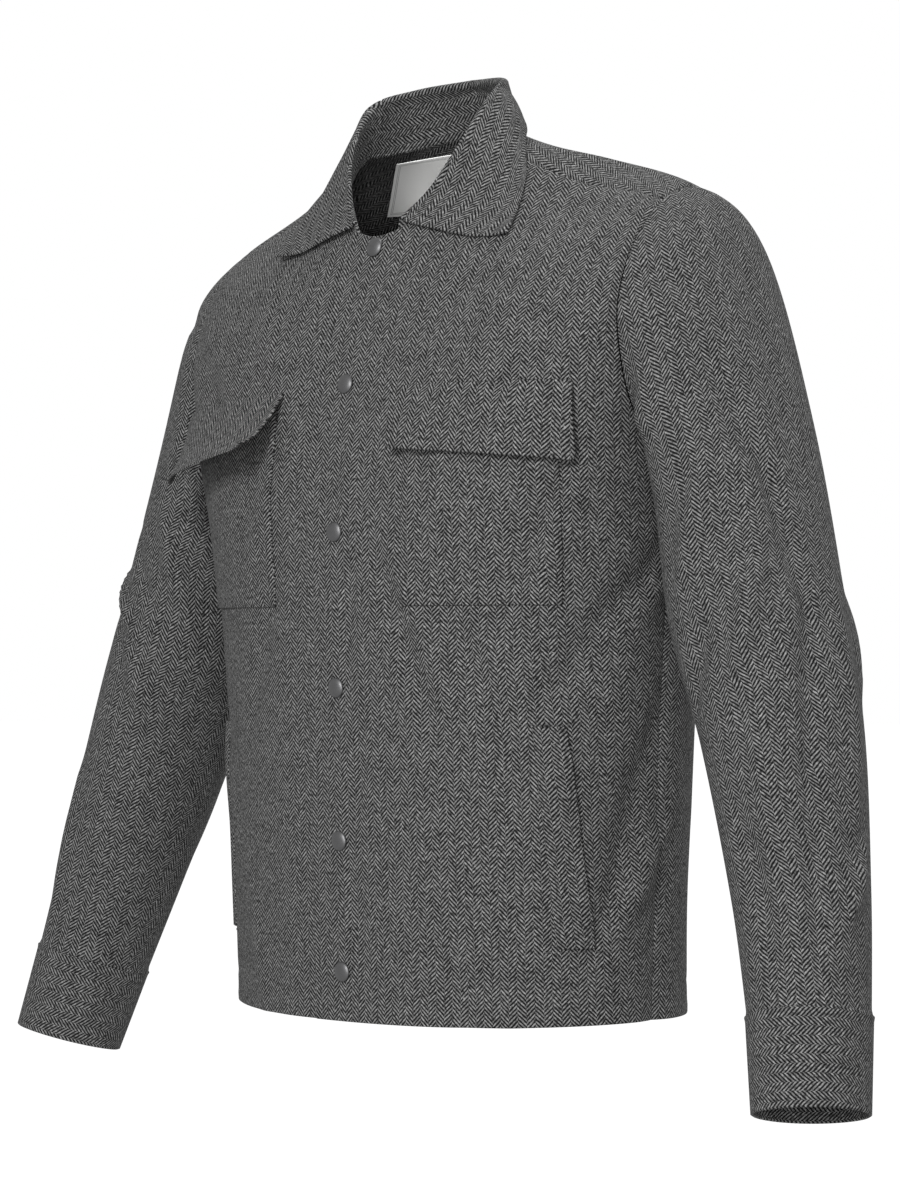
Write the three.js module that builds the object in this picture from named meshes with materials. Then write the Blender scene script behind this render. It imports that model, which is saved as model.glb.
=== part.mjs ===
import * as THREE from "three";

// A relaxed overshirt in herringbone flannel, worn closed, with nobody in it. It has two fronts that
// overlap, a back, a yoke, set-in sleeves with cuffs, a folded collar, two flapped chest pockets, two
// slanting hand-pocket welts and six snaps. Millimetres, +Z up. The front faces -Y and +X is the
// wearer's left. The origin lies between the neck points of the shoulders, where a wearer carries it.

// Cloth
const CLOTH = 1.6; // a single layer of flannel
const DOUBLED = 2.4; // collar, cuffs, flaps and welts, which are cut double
const SEAM_GAP = 0.36; // between two pieces at a seam
const LAID_GAP = 0.6; // between a piece and the panel that it lies on

// Body
const ARMHOLE_X = 229; // the plane of each armhole, from the centre
const ARMPIT_AT = 0.55; // where the armhole starts, on the body's scale from hem 0 to neckline 1
const YOKE_BACK_Z = -98; // height of the seam across the back
const YOKE_FRONT = { neckX: 74, neckY: -48, tipX: 229, tipY: -34 }; // the forward shoulder seam, from above
const OVERLAP = 28; // how far each front runs past the centre
const OVERLAP_DROP = 2.1; // how far the under front sinks where the other covers it
const OVERLAP_EASE = 36; // the width over which it comes back out

// Sections of the body from hem to neckline. The Y columns are its depth at centre front, side and
// centre back, the Z columns its height there, half is its half width, and square its squareness.
// A section climbs from its centre to its side sooner where lift is less.
const BODY = table("at frontY sideY backY frontZ sideZ backZ half square lift", [
  [0.0, -144, -14, 117, -691, -686, -686, 205, 2.15, 1.6],
  [0.2, -149, -15, 116, -536, -531, -531, 212, 2.1, 1.6],
  [0.4, -153, -15, 117, -390, -380, -382, 219, 2.2, 1.6],
  [0.5, -154, -14, 119, -322, -300, -312, 223, 2.4, 1.6],
  [0.55, -153, -13, 120, -290, -261, -277, 228, 2.55, 1.6],
  [0.65, -147, -10, 123, -230, -188, -208, 240, 2.9, 1.6],
  [0.75, -137, -5, 121, -179, -118, -145, 246, 3.0, 1.5],
  [0.85, -124, 0, 104, -135, -56, -85, 232, 2.4, 1.3],
  [0.92, -114, -10, 68, -108, -28, -36, 158, 2.1, 1.15],
  [1.0, -107, -36, 20, -83, -8, 9, 74, 2.0, 1.4],
]);

// Sections of a sleeve from the armhole to the cuff seam: its upper and under lines, seen from the
// front, its front and back, how far the upper line lies behind the middle, how much higher the front
// stands per distance to the back, and blend from the armhole's own outline to an oval.
const SLEEVE = table("at topX topZ underX underZ frontY backY skew pitch blend square", [
  [0.0, 229, -54, 229, -262, -96, 72, 0, 0.0, 0.0, 2.1],
  [0.04, 240, -58, 232, -264, -95, 72, 3, 0.0, 0.12, 2.1],
  [0.1, 253, -68, 235, -270, -93, 70, 8, 0.0, 0.45, 2.15],
  [0.17, 266, -90, 236, -278, -90, 68, 12, 0.0, 0.8, 2.2],
  [0.25, 283, -131, 236, -287, -87, 64, 15, 0.0, 1.0, 2.25],
  [0.34, 305, -191, 236, -299, -85, 60, 15, 0.01, 1.0, 2.25],
  [0.45, 331, -266, 237, -320, -83, 55, 13, 0.03, 1.0, 2.25],
  [0.58, 361, -358, 247, -396, -83, 49, 7, 0.08, 1.0, 2.2],
  [0.72, 390, -457, 281, -486, -86, 39, 2, 0.13, 1.0, 2.1],
  [0.87, 414, -574, 320, -597, -93, 11, 0, 0.17, 1.0, 2.1],
  [1.0, 429, -661, 346, -677, -104, -12, 0, 0.2, 1.0, 2.1],
]);
const CUFF_END = {
  topX: 442, topZ: -729, underX: 361, underZ: -743, frontY: -117, backY: -31, skew: 0, pitch: 0.2,
};
const CUFF_STEP = 1.2; // how far the cuff stands proud of the sleeve at their seam

// The collar's run round the neck, by the body's angle in degrees from centre front: the top of its
// fold, and the points that the fall passes halfway down and at its edge.
const COLLAR = table("angle foldX foldY foldZ midX midY midZ edgeX edgeY edgeZ", [
  [17, 26, -105, -70, 74, -102, -84, 122, -82, -96],
  [35, 44, -92, -49, 86, -85, -62, 120, -73, -78],
  [50, 57, -80, -23, 91, -70, -38, 116, -63, -58],
  [65, 65, -66, 3, 90, -58, -15, 109, -52, -38],
  [90, 67, -44, 31, 82, -40, 12, 93, -38, -12],
  [130, 48, -13, 45, 53, -6, 28, 62, -3, 6],
  [180, 0, 3, 50, 0, 18, 34, 0, 36, 8],
]);
const FOLD_RADIUS = 2.6; // of the collar's fold, to the middle of its cloth
const STAND_FOOT = 2.3; // the collar's foot above the middle of the neckline's cloth
const COLLAR_SLACK = 0.25; // more than LAID_GAP that the collar keeps from the shoulders

// As it is worn, the wearer's right shoulder sits lower: by fall at the sleeve, from nothing near the
// neck, fading out below the armpit.
const WORN = { fall: 13, from: 70, to: 235, above: -110, below: -340 };

// Patches on the left front, by distance from the centre and height
const POCKET = { top: -217, bottom: -371, topInner: 71, topOuter: 194, bottomInner: 70, bottomOuter: 185 };
const FLAP = {
  top: -205, bottom: -261, rise: 9, topInner: 66, topOuter: 204, bottomInner: 63, bottomOuter: 200,
};
const WELT = { top: -463, bottom: -629, topInner: 164, topOuter: 183, bottomInner: 174, bottomOuter: 192 };
const FLARE = { left: { inner: 3, outer: 5 }, right: { inner: 32, outer: 25 } }; // at a flap's lower corners
const FLARE_CURVE = 1.6; // how late a flap turns away on its way down
const SNAP = { across: 2, radius: 7.7, height: 3.4, rim: 0.9, foot: 7.4 };
const SNAP_HEIGHTS = [-92, -200, -314, -434, -552, -653];
const LABEL = { angle: 217, width: 64, top: 0.985, bottom: 0.91, thick: 0.8, slack: 0.8 };

// Grid steps of the main pieces
const STEPS = { around: 16, below: 10, armhole: 8, shoulder: 5, yokeBack: 14, ring: 28, sleeve: 20, cuff: 4 };
const TRIM_STEPS = {
  collar: 32, stand: 3, fall: 7, patchUp: 6, patchAcross: 12, welt: 4, labelUp: 4, labelAcross: 8,
};
const SNAP_SIDES = 14;

// Places on the body's scale between which the lines of the shoulder are looked for
const SEARCH = { seam: 0.7, ridge: 0.75, armhole: 0.76, end: 0.95, samples: 120 };
const NEAREST = { places: 50, angles: 140 }; // samples of the shoulders that the collar is kept clear of

const UP = new THREE.Vector3(0, 0, 1);
const QUARTER = Math.PI / 2;
const radians = (degrees) => (degrees * Math.PI) / 180;

const shirt = new THREE.Group();

// Helpers

// A table is a list of rows, each an object with the named columns.
function table(columns, rows) {
  const names = columns.split(" ");
  return rows.map((row) => Object.fromEntries(names.map((name, k) => [name, row[k]])));
}

// Every column of a table at one place along its first column, on a smooth curve through its rows.
function between(rows, at) {
  const key = Object.keys(rows[0])[0];
  const last = rows.length - 1;
  let k = 0;
  while (k < last - 1 && at > rows[k + 1][key]) k += 1;
  const span = rows[k + 1][key] - rows[k][key];
  const s = (at - rows[k][key]) / span;
  const out = {};
  for (const name of Object.keys(rows[0])) {
    const slope = (i) => {
      const low = rows[Math.max(i - 1, 0)];
      const high = rows[Math.min(i + 1, last)];
      return (high[name] - low[name]) / (high[key] - low[key]);
    };
    const [p, q] = [rows[k][name], rows[k + 1][name]];
    const [m, n] = [slope(k) * span, slope(k + 1) * span];
    out[name] =
      (2 * s ** 3 - 3 * s ** 2 + 1) * p +
      (s ** 3 - 2 * s ** 2 + s) * m +
      (3 * s ** 2 - 2 * s ** 3) * q +
      (s ** 3 - s ** 2) * n;
  }
  return out;
}

const power = (value, exponent) => Math.sign(value) * Math.abs(value) ** exponent;
const mix = (a, b, k) => a + (b - a) * k;
const steps = (count) => Array.from({ length: count + 1 }, (_, i) => i / count);
const mirrored = (p) => new THREE.Vector3(-p.x, p.y, p.z);

// The place between low and high where test turns from false to true.
function crossing(test, low, high) {
  for (let i = 0; i < 40; i += 1) {
    const middle = (low + high) / 2;
    if (test(middle)) high = middle;
    else low = middle;
  }
  return (low + high) / 2;
}

// Points at even distances along a line of points.
function evenly(line, shares) {
  const along = [0];
  for (let i = 1; i < line.length; i += 1) along.push(along[i - 1] + line[i].distanceTo(line[i - 1]));
  const total = along[along.length - 1];
  let k = 0;
  return shares.map((share) => {
    const at = share * total;
    while (k < line.length - 2 && along[k + 1] < at) k += 1;
    const part = (at - along[k]) / Math.max(along[k + 1] - along[k], 1e-9);
    return line[k].clone().lerp(line[k + 1], part);
  });
}

// A point of the even form, moved to where it lies on the wearer.
function worn(p) {
  const outward = THREE.MathUtils.smoothstep(-p.x, WORN.from, WORN.to);
  const height = THREE.MathUtils.smoothstep(p.z, WORN.below, WORN.above);
  return new THREE.Vector3(p.x, p.y, p.z - WORN.fall * outward * height);
}

// Normals of a grid of points, by differences along its rows and columns.
function normalsOf(grid, closed) {
  const rows = grid.length;
  const columns = grid[0].length;
  return grid.map((row, i) =>
    row.map((_, j) => {
      const before = closed ? (j + columns - 1) % columns : Math.max(j - 1, 0);
      const after = closed ? (j + 1) % columns : Math.min(j + 1, columns - 1);
      const across = grid[i][after].clone().sub(grid[i][before]);
      const up = grid[Math.min(i + 1, rows - 1)][j].clone().sub(grid[Math.max(i - 1, 0)][j]);
      return across.cross(up).normalize();
    }),
  );
}

// Moves the outer points of a grid in along its own rows and columns, to leave the gap at a seam. Each
// named edge has a test of which of its points are on the seam.
function trimmed(grid, seams, gap = SEAM_GAP / 2) {
  const out = grid.map((row) => row.map((p) => p.clone()));
  const last = grid.length - 1;
  const end = grid[0].length - 1;
  const pull = (i, j, k, l) => out[i][j].add(grid[k][l].clone().sub(grid[i][j]).setLength(gap));
  for (let j = 0; j <= end; j += 1) {
    if (seams.bottom?.(j)) pull(0, j, 1, j);
    if (seams.top?.(j)) pull(last, j, last - 1, j);
  }
  for (let i = 0; i <= last; i += 1) {
    if (seams.first?.(i)) pull(i, 0, i, 1);
    if (seams.last?.(i)) pull(i, end, i, end - 1);
  }
  return out;
}

// A wall of cloth on a grid of points: its middle surface is moved out by offset along the normals.
// The edges of a tube can be made square to a direction.
function wall(even, thickness, { closed = false, offset = 0, edges = {} } = {}) {
  const grid = even.map((row) => row.map(worn));
  const rows = grid.length;
  const columns = grid[0].length;
  const normals = normalsOf(grid, closed);
  const squareTo = (row, way) => row.forEach((n) => n.addScaledVector(way, -n.dot(way)).normalize());
  if (edges.bottom) squareTo(normals[0], edges.bottom);
  if (edges.top) squareTo(normals[rows - 1], edges.top);
  const positions = [];
  const index = [];
  for (const side of [1, -1])
    grid.forEach((row, i) =>
      row.forEach((p, j) => {
        const shift = typeof offset === "function" ? offset(i, j) : offset;
        const q = p.clone().addScaledVector(normals[i][j], shift + (side * thickness) / 2);
        positions.push(q.x, q.y, q.z);
      }),
    );
  const outer = (i, j) => i * columns + (j % columns);
  const inner = (i, j) => rows * columns + outer(i, j);
  const quad = (a, b, c, d) => index.push(a, b, c, a, c, d);
  const end = columns - 1;
  const spans = closed ? columns : end;
  for (let i = 0; i < rows - 1; i += 1)
    for (let j = 0; j < spans; j += 1) {
      const next = (j + 1) % columns;
      const corners = [[i, j], [i, next], [i + 1, next], [i + 1, j]];
      // Each quad is split along its shorter diagonal, so that both sides of the garment match
      if (grid[i][j].distanceTo(grid[i + 1][next]) > grid[i][next].distanceTo(grid[i + 1][j]))
        corners.push(corners.shift());
      quad(...corners.map(([k, l]) => outer(k, l)));
      quad(...corners.reverse().map(([k, l]) => inner(k, l)));
    }
  for (let j = 0; j < spans; j += 1) {
    quad(inner(0, j), inner(0, j + 1), outer(0, j + 1), outer(0, j));
    quad(outer(rows - 1, j), outer(rows - 1, j + 1), inner(rows - 1, j + 1), inner(rows - 1, j));
  }
  if (!closed)
    for (let i = 0; i < rows - 1; i += 1) {
      quad(outer(i, 0), outer(i + 1, 0), inner(i + 1, 0), inner(i, 0));
      quad(inner(i, end), inner(i + 1, end), outer(i + 1, end), outer(i, end));
    }
  const geometry = new THREE.BufferGeometry();
  geometry.setAttribute("position", new THREE.Float32BufferAttribute(positions, 3));
  geometry.setIndex(index);
  geometry.computeVertexNormals();
  return geometry;
}

// Materials and meshes

const finish = (color, roughness, metalness) =>
  new THREE.MeshStandardMaterial({ color, roughness, metalness });
const flannel = () => finish(0x5c5c5c, 0.95, 0);
const gunmetal = () => finish(0x4a4b4c, 0.35, 0.9);
const labelCloth = () => finish(0x9a9a98, 0.8, 0);

function add(name, geometry, material = flannel()) {
  const mesh = new THREE.Mesh(geometry, material);
  mesh.name = name;
  shirt.add(mesh);
}

// The body's form

// The point of the body at an angle round it, from centre front towards the wearer's left, and at a
// place from hem 0 to neckline 1.
function bodyPoint(angle, at) {
  const section = between(BODY, at);
  const across = Math.sin(angle);
  const ahead = Math.cos(angle);
  const centreY = ahead >= 0 ? section.frontY : section.backY;
  const centreZ = ahead >= 0 ? section.frontZ : section.backZ;
  const exponent = 2 / section.square;
  return new THREE.Vector3(
    section.half * power(across, exponent),
    section.sideY + (centreY - section.sideY) * Math.abs(ahead) ** exponent,
    section.sideZ + (centreZ - section.sideZ) * Math.abs(ahead) ** section.lift,
  );
}

// The outward normal there.
function bodyNormal(angle, at) {
  const step = 1e-4;
  const low = Math.min(at, 1 - step);
  const around = bodyPoint(angle + step, at).sub(bodyPoint(angle - step, at));
  const up = bodyPoint(angle, low + step).sub(bodyPoint(angle, low - step));
  return around.cross(up).normalize();
}

// Whether the cloth at a place on the left half stays short of the armhole's plane.
function insideArmhole(angle, at) {
  const reach = bodyPoint(angle, at).x + (bodyNormal(angle, at).x * CLOTH) / 2;
  return reach <= ARMHOLE_X - SEAM_GAP / 2;
}

// Whether a place on the left half is in front of the forward shoulder seam.
function aheadOfYoke(angle, at) {
  const p = bodyPoint(angle, at);
  const { neckX, neckY, tipX, tipY } = YOKE_FRONT;
  return p.y < mix(neckY, tipY, (p.x - neckX) / (tipX - neckX));
}

// The body's place on a meridian where a height is reached.
const placeAtHeight = (angle, z) => crossing((at) => bodyPoint(angle, at).z > z, 0, 1);

// The angles at which the front half reaches the armhole and the forward shoulder seam.
const armholeFront = (at) => crossing((a) => !insideArmhole(a, at), 0, QUARTER);
const shoulderSeam = (at) => crossing((a) => !aheadOfYoke(a, at), 0, QUARTER);

// The angle of the left front's outer edge: side seam, then armhole, then forward shoulder seam.
function frontEdge(at) {
  if (at <= ARMPIT_AT) return QUARTER;
  return Math.min(armholeFront(at), shoulderSeam(at));
}

// Where the forward shoulder seam meets the armhole.
const YOKE_TIP_AT = crossing((at) => shoulderSeam(at) < armholeFront(at), SEARCH.seam, SEARCH.end);

// Where the armhole crosses the shoulder's ridge.
const TIP_AT = crossing((at) => insideArmhole(QUARTER, at), SEARCH.ridge, SEARCH.end);

// One row of a panel: points evenly along the body between two angles.
function bodyRow(point, from, to, count) {
  const fine = steps(3 * count).map((k) => point(mix(from, to, k)));
  return evenly(fine, steps(count));
}

const rowsBetween = (low, high, count) => steps(count).map((k) => mix(low, high, k));
const BELOW_ROWS = rowsBetween(0, ARMPIT_AT, STEPS.below);
const ARMHOLE_ROWS = rowsBetween(ARMPIT_AT, YOKE_TIP_AT, STEPS.armhole).slice(1);
const SHOULDER_ROWS = rowsBetween(YOKE_TIP_AT, 1, STEPS.shoulder).slice(1);

// A front of the wearer's left, from its edge past the centre to its outer edge. The under front sinks
// where the other one covers it.
function frontGrid(under) {
  const rows = [...BELOW_ROWS, ...ARMHOLE_ROWS, ...SHOULDER_ROWS];
  const grid = rows.map((at) => {
    const section = between(BODY, at);
    const start = -Math.asin((OVERLAP / section.half) ** (section.square / 2));
    return bodyRow((angle) => bodyPoint(angle, at), start, frontEdge(at), STEPS.around);
  });
  if (under)
    for (const p of grid.flat()) {
      const ease = THREE.MathUtils.smoothstep(p.x, OVERLAP, OVERLAP + OVERLAP_EASE);
      p.y += OVERLAP_DROP * (1 - ease);
    }
  const onSeam = (i) => rows[i] <= ARMPIT_AT || rows[i] > YOKE_TIP_AT;
  return trimmed(grid, { last: onSeam });
}

function buildFronts() {
  add("front_left", wall(frontGrid(false), CLOTH));
  const right = frontGrid(true).map((row) => row.map(mirrored).reverse());
  add("front_right", wall(right, CLOTH));
}

// The back, from the wearer's left round to the right. Its rows end on the level yoke seam.
function buildBack() {
  const top = (angle) => placeAtHeight(angle, YOKE_BACK_Z);
  const sideTop = top(QUARTER);
  const rows = [...BELOW_ROWS, ...rowsBetween(ARMPIT_AT, sideTop, STEPS.armhole).slice(1)];
  const grid = rows.map((at) => {
    const place = (angle) => (at / sideTop) * top(angle);
    const inside = (angle) => insideArmhole(angle, place(angle));
    const edge = at <= ARMPIT_AT ? QUARTER : crossing(inside, QUARTER, 0.9 * Math.PI);
    const point = (angle) => bodyPoint(angle, place(angle));
    return bodyRow(point, edge, 2 * Math.PI - edge, 2 * STEPS.around);
  });
  const onSeam = (i) => rows[i] <= ARMPIT_AT;
  add("back", wall(trimmed(grid, { first: onSeam, last: onSeam, top: () => true }), CLOTH));
}

// The yoke, from the forward seam of the left shoulder round the back to that of the right. Its rows
// run from its outer edge, along armhole and back seam, in to the neckline.
function buildYoke() {
  const angleAt = (share, at) => mix(shoulderSeam(at), Math.PI, share);
  const aboveSeam = (share, at) => {
    const angle = angleAt(share, at);
    return angle < QUARTER || bodyPoint(angle, at).z > YOKE_BACK_Z;
  };
  const armholeAt = (share) => crossing((at) => insideArmhole(angleAt(share, at), at), SEARCH.armhole, 1);
  const seamAt = (share) => crossing((at) => aboveSeam(share, at), SEARCH.seam, 1);
  // The share of the way round where the armhole meets the back seam
  const corner = crossing((share) => seamAt(share) > armholeAt(share), 0.3, 0.9);
  const shares = [
    ...rowsBetween(0, corner, STEPS.armhole),
    ...rowsBetween(corner, 1, STEPS.yokeBack).slice(1),
  ];
  const half = shares.map((share) => {
    const start = share <= corner ? armholeAt(share) : seamAt(share);
    return rowsBetween(start, 1, STEPS.shoulder).map((at) => bodyPoint(angleAt(share, at), at));
  });
  const columns = [...half, ...half.slice(0, -1).reverse().map((column) => column.map(mirrored))];
  const grid = steps(STEPS.shoulder).map((_, i) => columns.map((column) => column[i]));
  const across = (j) => j > STEPS.armhole && j < columns.length - 1 - STEPS.armhole;
  add("yoke", wall(trimmed(grid, { first: () => true, last: () => true, bottom: across }), CLOTH));
}

// The armhole's outline on the left, in its plane: front branch up, then back branch down.
function armholeLoop(count) {
  const all = rowsBetween(ARMPIT_AT + 1e-3, SEARCH.end, SEARCH.samples);
  const places = all.filter((at) => !insideArmhole(QUARTER, at));
  const armholeBack = (at) => crossing((a) => insideArmhole(a, at), QUARTER, Math.PI);
  const front = places.map((at) => bodyPoint(armholeFront(at), at));
  const back = places.map((at) => bodyPoint(armholeBack(at), at));
  const half = steps(count / 2);
  const top = bodyPoint(QUARTER, TIP_AT);
  const pit = bodyPoint(QUARTER, ARMPIT_AT);
  const up = evenly([pit, ...front, top], half);
  const down = evenly([top, ...back.reverse(), pit], half);
  return [...up, ...down.slice(1, -1)];
}

// Sleeves and cuffs

// One ring of a sleeve, seen down the arm, on the section's four lines. The armhole's outline is used
// in full where blend is 0.
function sleeveRing(section, outline) {
  const top = new THREE.Vector3(section.topX, 0, section.topZ);
  const under = new THREE.Vector3(section.underX, 0, section.underZ);
  const centre = top.clone().add(under).multiplyScalar(0.5);
  centre.y = (section.frontY + section.backY) / 2;
  const rise = top.clone().sub(under).multiplyScalar(0.5);
  const depth = (section.backY - section.frontY) / 2;
  const exponent = 2 / section.square;
  return outline.map(({ u, v }) => {
    const angle = Math.atan2(v, u);
    const ovalU = power(Math.cos(angle), exponent);
    const ovalV = power(Math.sin(angle), exponent);
    const up = mix(u, ovalU, section.blend);
    const back = depth * mix(v, ovalV, section.blend);
    const p = centre.clone().addScaledVector(rise, up);
    p.y += back + (section.skew * (1 + up)) / 2;
    p.z -= section.pitch * back;
    return p;
  });
}

// The armhole's outline, seen down the arm: u runs from under to top, v from front to back.
function sleeveOutline() {
  const { topZ, underZ, frontY, backY } = SLEEVE[0];
  return armholeLoop(STEPS.ring).map((p) => ({
    u: (2 * p.z - topZ - underZ) / (topZ - underZ),
    v: (2 * p.y - frontY - backY) / (backY - frontY),
  }));
}

function buildSleeves() {
  const outline = sleeveOutline();
  const rows = rowsBetween(0, 1, STEPS.sleeve).map((at) => sleeveRing(between(SLEEVE, at), outline));
  for (const p of rows[0]) p.x = ARMHOLE_X + SEAM_GAP / 2;
  const end = between(SLEEVE, 1);
  const forward = (CUFF_END.frontY + CUFF_END.backY - end.frontY - end.backY) / 2;
  const reach = new THREE.Vector3(CUFF_END.topX - end.topX, forward, CUFF_END.topZ - end.topZ).normalize();
  const wrist = rows[rows.length - 1].map((p) => p.clone().addScaledVector(reach, SEAM_GAP));
  const middle = wrist.reduce((sum, p) => sum.add(p), new THREE.Vector3()).divideScalar(wrist.length);
  const proud = (p) => p.clone().add(p.clone().sub(middle).setLength(CUFF_STEP));
  const cuffEnd = sleeveRing({ ...CUFF_END, blend: 1, square: end.square }, outline);
  const cuff = steps(STEPS.cuff).map((k) => wrist.map((p, j) => proud(p).lerp(cuffEnd[j], k)));
  const reversed = (ring) => [...ring].reverse();
  for (const side of ["left", "right"]) {
    const flip = side === "right";
    // Rows run up the arm, so that the cloth faces out
    const place = (grid) => grid.map((ring) => (flip ? ring.map(mirrored) : reversed(ring))).reverse();
    const down = flip ? mirrored(reach) : reach;
    const out = new THREE.Vector3(flip ? -1 : 1, 0, 0);
    add(`sleeve_${side}`, wall(place(rows), CLOTH, { closed: true, edges: { bottom: down, top: out } }));
    add(`cuff_${side}`, wall(place(cuff), DOUBLED, { closed: true, edges: { bottom: down, top: down } }));
  }
}

// Collar

// Keeps points clear of the body's outer face, by moving them out along its nearest normal.
const SHOULDER_SAMPLES = rowsBetween(SEARCH.seam, 1, NEAREST.places).flatMap((at) =>
  rowsBetween(0, 2 * Math.PI, NEAREST.angles).map((angle) => ({
    p: bodyPoint(angle, at),
    n: bodyNormal(angle, at),
  })),
);
function clearOfBody(point, distance) {
  let nearest = SHOULDER_SAMPLES[0];
  for (const sample of SHOULDER_SAMPLES)
    if (sample.p.distanceToSquared(point) < nearest.p.distanceToSquared(point)) nearest = sample;
  const height = point.clone().sub(nearest.p).dot(nearest.n);
  return height < distance ? point.clone().addScaledVector(nearest.n, distance - height) : point;
}

// One strip across the collar's left half: up the stand, over the fold and down the fall.
function collarStrip(angle) {
  const row = between(COLLAR, angle);
  const foot = bodyPoint(radians(angle), 1);
  foot.z += STAND_FOOT;
  const fold = new THREE.Vector3(row.foldX, row.foldY, row.foldZ);
  const middle = new THREE.Vector3(row.midX, row.midY, row.midZ);
  const edge = new THREE.Vector3(row.edgeX, row.edgeY, row.edgeZ);
  const out = middle.clone().sub(foot).setZ(0).normalize();
  const heart = fold.clone().addScaledVector(UP, -FOLD_RADIUS);
  const arc = [180, 135, 90, 45, 0].map((degrees) =>
    heart
      .clone()
      .addScaledVector(out, FOLD_RADIUS * Math.cos(radians(degrees)))
      .addScaledVector(UP, FOLD_RADIUS * Math.sin(radians(degrees))),
  );
  const stand = steps(TRIM_STEPS.stand).slice(0, -1).map((k) => foot.clone().lerp(arc[0], k));
  const line = new THREE.CatmullRomCurve3([arc[4], middle, edge], false, "centripetal");
  const clear = CLOTH / 2 + LAID_GAP + DOUBLED / 2 + COLLAR_SLACK;
  const fall = steps(TRIM_STEPS.fall).slice(1).map((k) => clearOfBody(line.getPoint(k), clear));
  return [...stand, ...arc, ...fall];
}

function buildCollar() {
  const left = rowsBetween(COLLAR[0].angle, 180, TRIM_STEPS.collar / 2).map(collarStrip);
  const right = left.slice(0, -1).reverse().map((strip) => strip.map(mirrored));
  add("collar", wall([...left, ...right], DOUBLED));
}

// Patches and trim

// The place on the left front at a distance from the centre and a height.
function onFront(x, z) {
  const angleAt = (at) => crossing((a) => bodyPoint(a, at).x > x, 0, QUARTER);
  const at = crossing((k) => bodyPoint(angleAt(k), k).z > z, 0, 1);
  return bodyPoint(angleAt(at), at);
}

// A patch between two slanting sides, its rows even along the cloth. A flap's lower edge rises inwards.
function patchGrid(patch, rows, columns) {
  const { rise = 0 } = patch;
  return steps(rows).map((k) => {
    const inner = mix(patch.bottomInner, patch.topInner, k);
    const outer = mix(patch.bottomOuter, patch.topOuter, k);
    const fine = steps(2 * columns).map((across) => {
      const bottom = patch.bottom + rise * (1 - across);
      return onFront(mix(inner, outer, across), mix(bottom, patch.top, k));
    });
    return evenly(fine, steps(columns));
  });
}

const LAID = CLOTH / 2 + LAID_GAP; // from the middle of a panel's cloth to the underside of what lies on it

function buildPatches() {
  const { patchUp, patchAcross, welt } = TRIM_STEPS;
  const pocketGrid = patchGrid(POCKET, patchUp, patchAcross);
  const flapGrid = patchGrid(FLAP, patchUp, patchAcross);
  const weltGrid = patchGrid(WELT, patchUp, welt);
  const flapSeat = LAID + DOUBLED / 2;
  const flapOver = flapSeat + CLOTH + LAID_GAP;
  for (const side of ["left", "right"]) {
    const flip = side === "right";
    const place = (grid) => (flip ? grid.map((row) => row.map(mirrored).reverse()) : grid);
    const { inner, outer } = FLARE[side];
    // The top row is sewn down on the front, and the rest hangs over the pocket
    const lift = (i, j) => {
      const across = flip ? 1 - j / patchAcross : j / patchAcross;
      const flare = mix(inner, outer, across) * (1 - i / patchUp) ** FLARE_CURVE;
      return (i === patchUp ? flapSeat : flapOver) + flare;
    };
    add(`pocket_${side}`, wall(place(pocketGrid), CLOTH, { offset: LAID + CLOTH / 2 }));
    add(`flap_${side}`, wall(place(flapGrid), DOUBLED, { offset: lift }));
    add(`welt_${side}`, wall(place(weltGrid), DOUBLED, { offset: LAID + DOUBLED / 2 }));
  }
}

function buildSnaps() {
  const { radius, height, rim, foot } = SNAP;
  const dome = [90, 60, 30, 0].map((degrees) => {
    const a = radians(degrees);
    return new THREE.Vector2(radius * Math.sin(a), rim + (height - rim) * Math.cos(a));
  });
  const profile = [new THREE.Vector2(0, 0), new THREE.Vector2(foot, 0), new THREE.Vector2(radius, rim / 2)];
  SNAP_HEIGHTS.forEach((z, k) => {
    const seat = onFront(Math.abs(SNAP.across), z);
    const above = onFront(Math.abs(SNAP.across), z + SNAP.radius);
    const up = above.sub(seat).normalize();
    const out = new THREE.Vector3(0, -up.z, up.y);
    const geometry = new THREE.LatheGeometry([...profile, ...dome], SNAP_SIDES);
    geometry.applyQuaternion(new THREE.Quaternion().setFromUnitVectors(new THREE.Vector3(0, 1, 0), out));
    const at = seat.setX(SNAP.across).addScaledVector(out, CLOTH / 2 + LAID_GAP);
    geometry.translate(at.x, at.y, at.z);
    add(`snap_${k + 1}`, geometry, gunmetal());
  });
}

// The label, inside the back of the neck on the yoke.
function buildLabel() {
  const middleAngle = radians(LABEL.angle);
  const grid = rowsBetween(LABEL.bottom, LABEL.top, TRIM_STEPS.labelUp).map((at) => {
    const middle = bodyPoint(middleAngle, at);
    const spread = LABEL.width / 2 / Math.hypot(middle.x, middle.y - between(BODY, at).sideY);
    const point = (angle) => bodyPoint(angle, at);
    return bodyRow(point, middleAngle - spread, middleAngle + spread, TRIM_STEPS.labelAcross);
  });
  const inward = LAID + LABEL.thick / 2 + LABEL.slack;
  add("label", wall(grid, LABEL.thick, { offset: -inward }), labelCloth());
}

buildFronts();
buildBack();
buildYoke();
buildSleeves();
buildCollar();
buildPatches();
buildSnaps();
buildLabel();

export default shirt;
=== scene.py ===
import math

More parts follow.
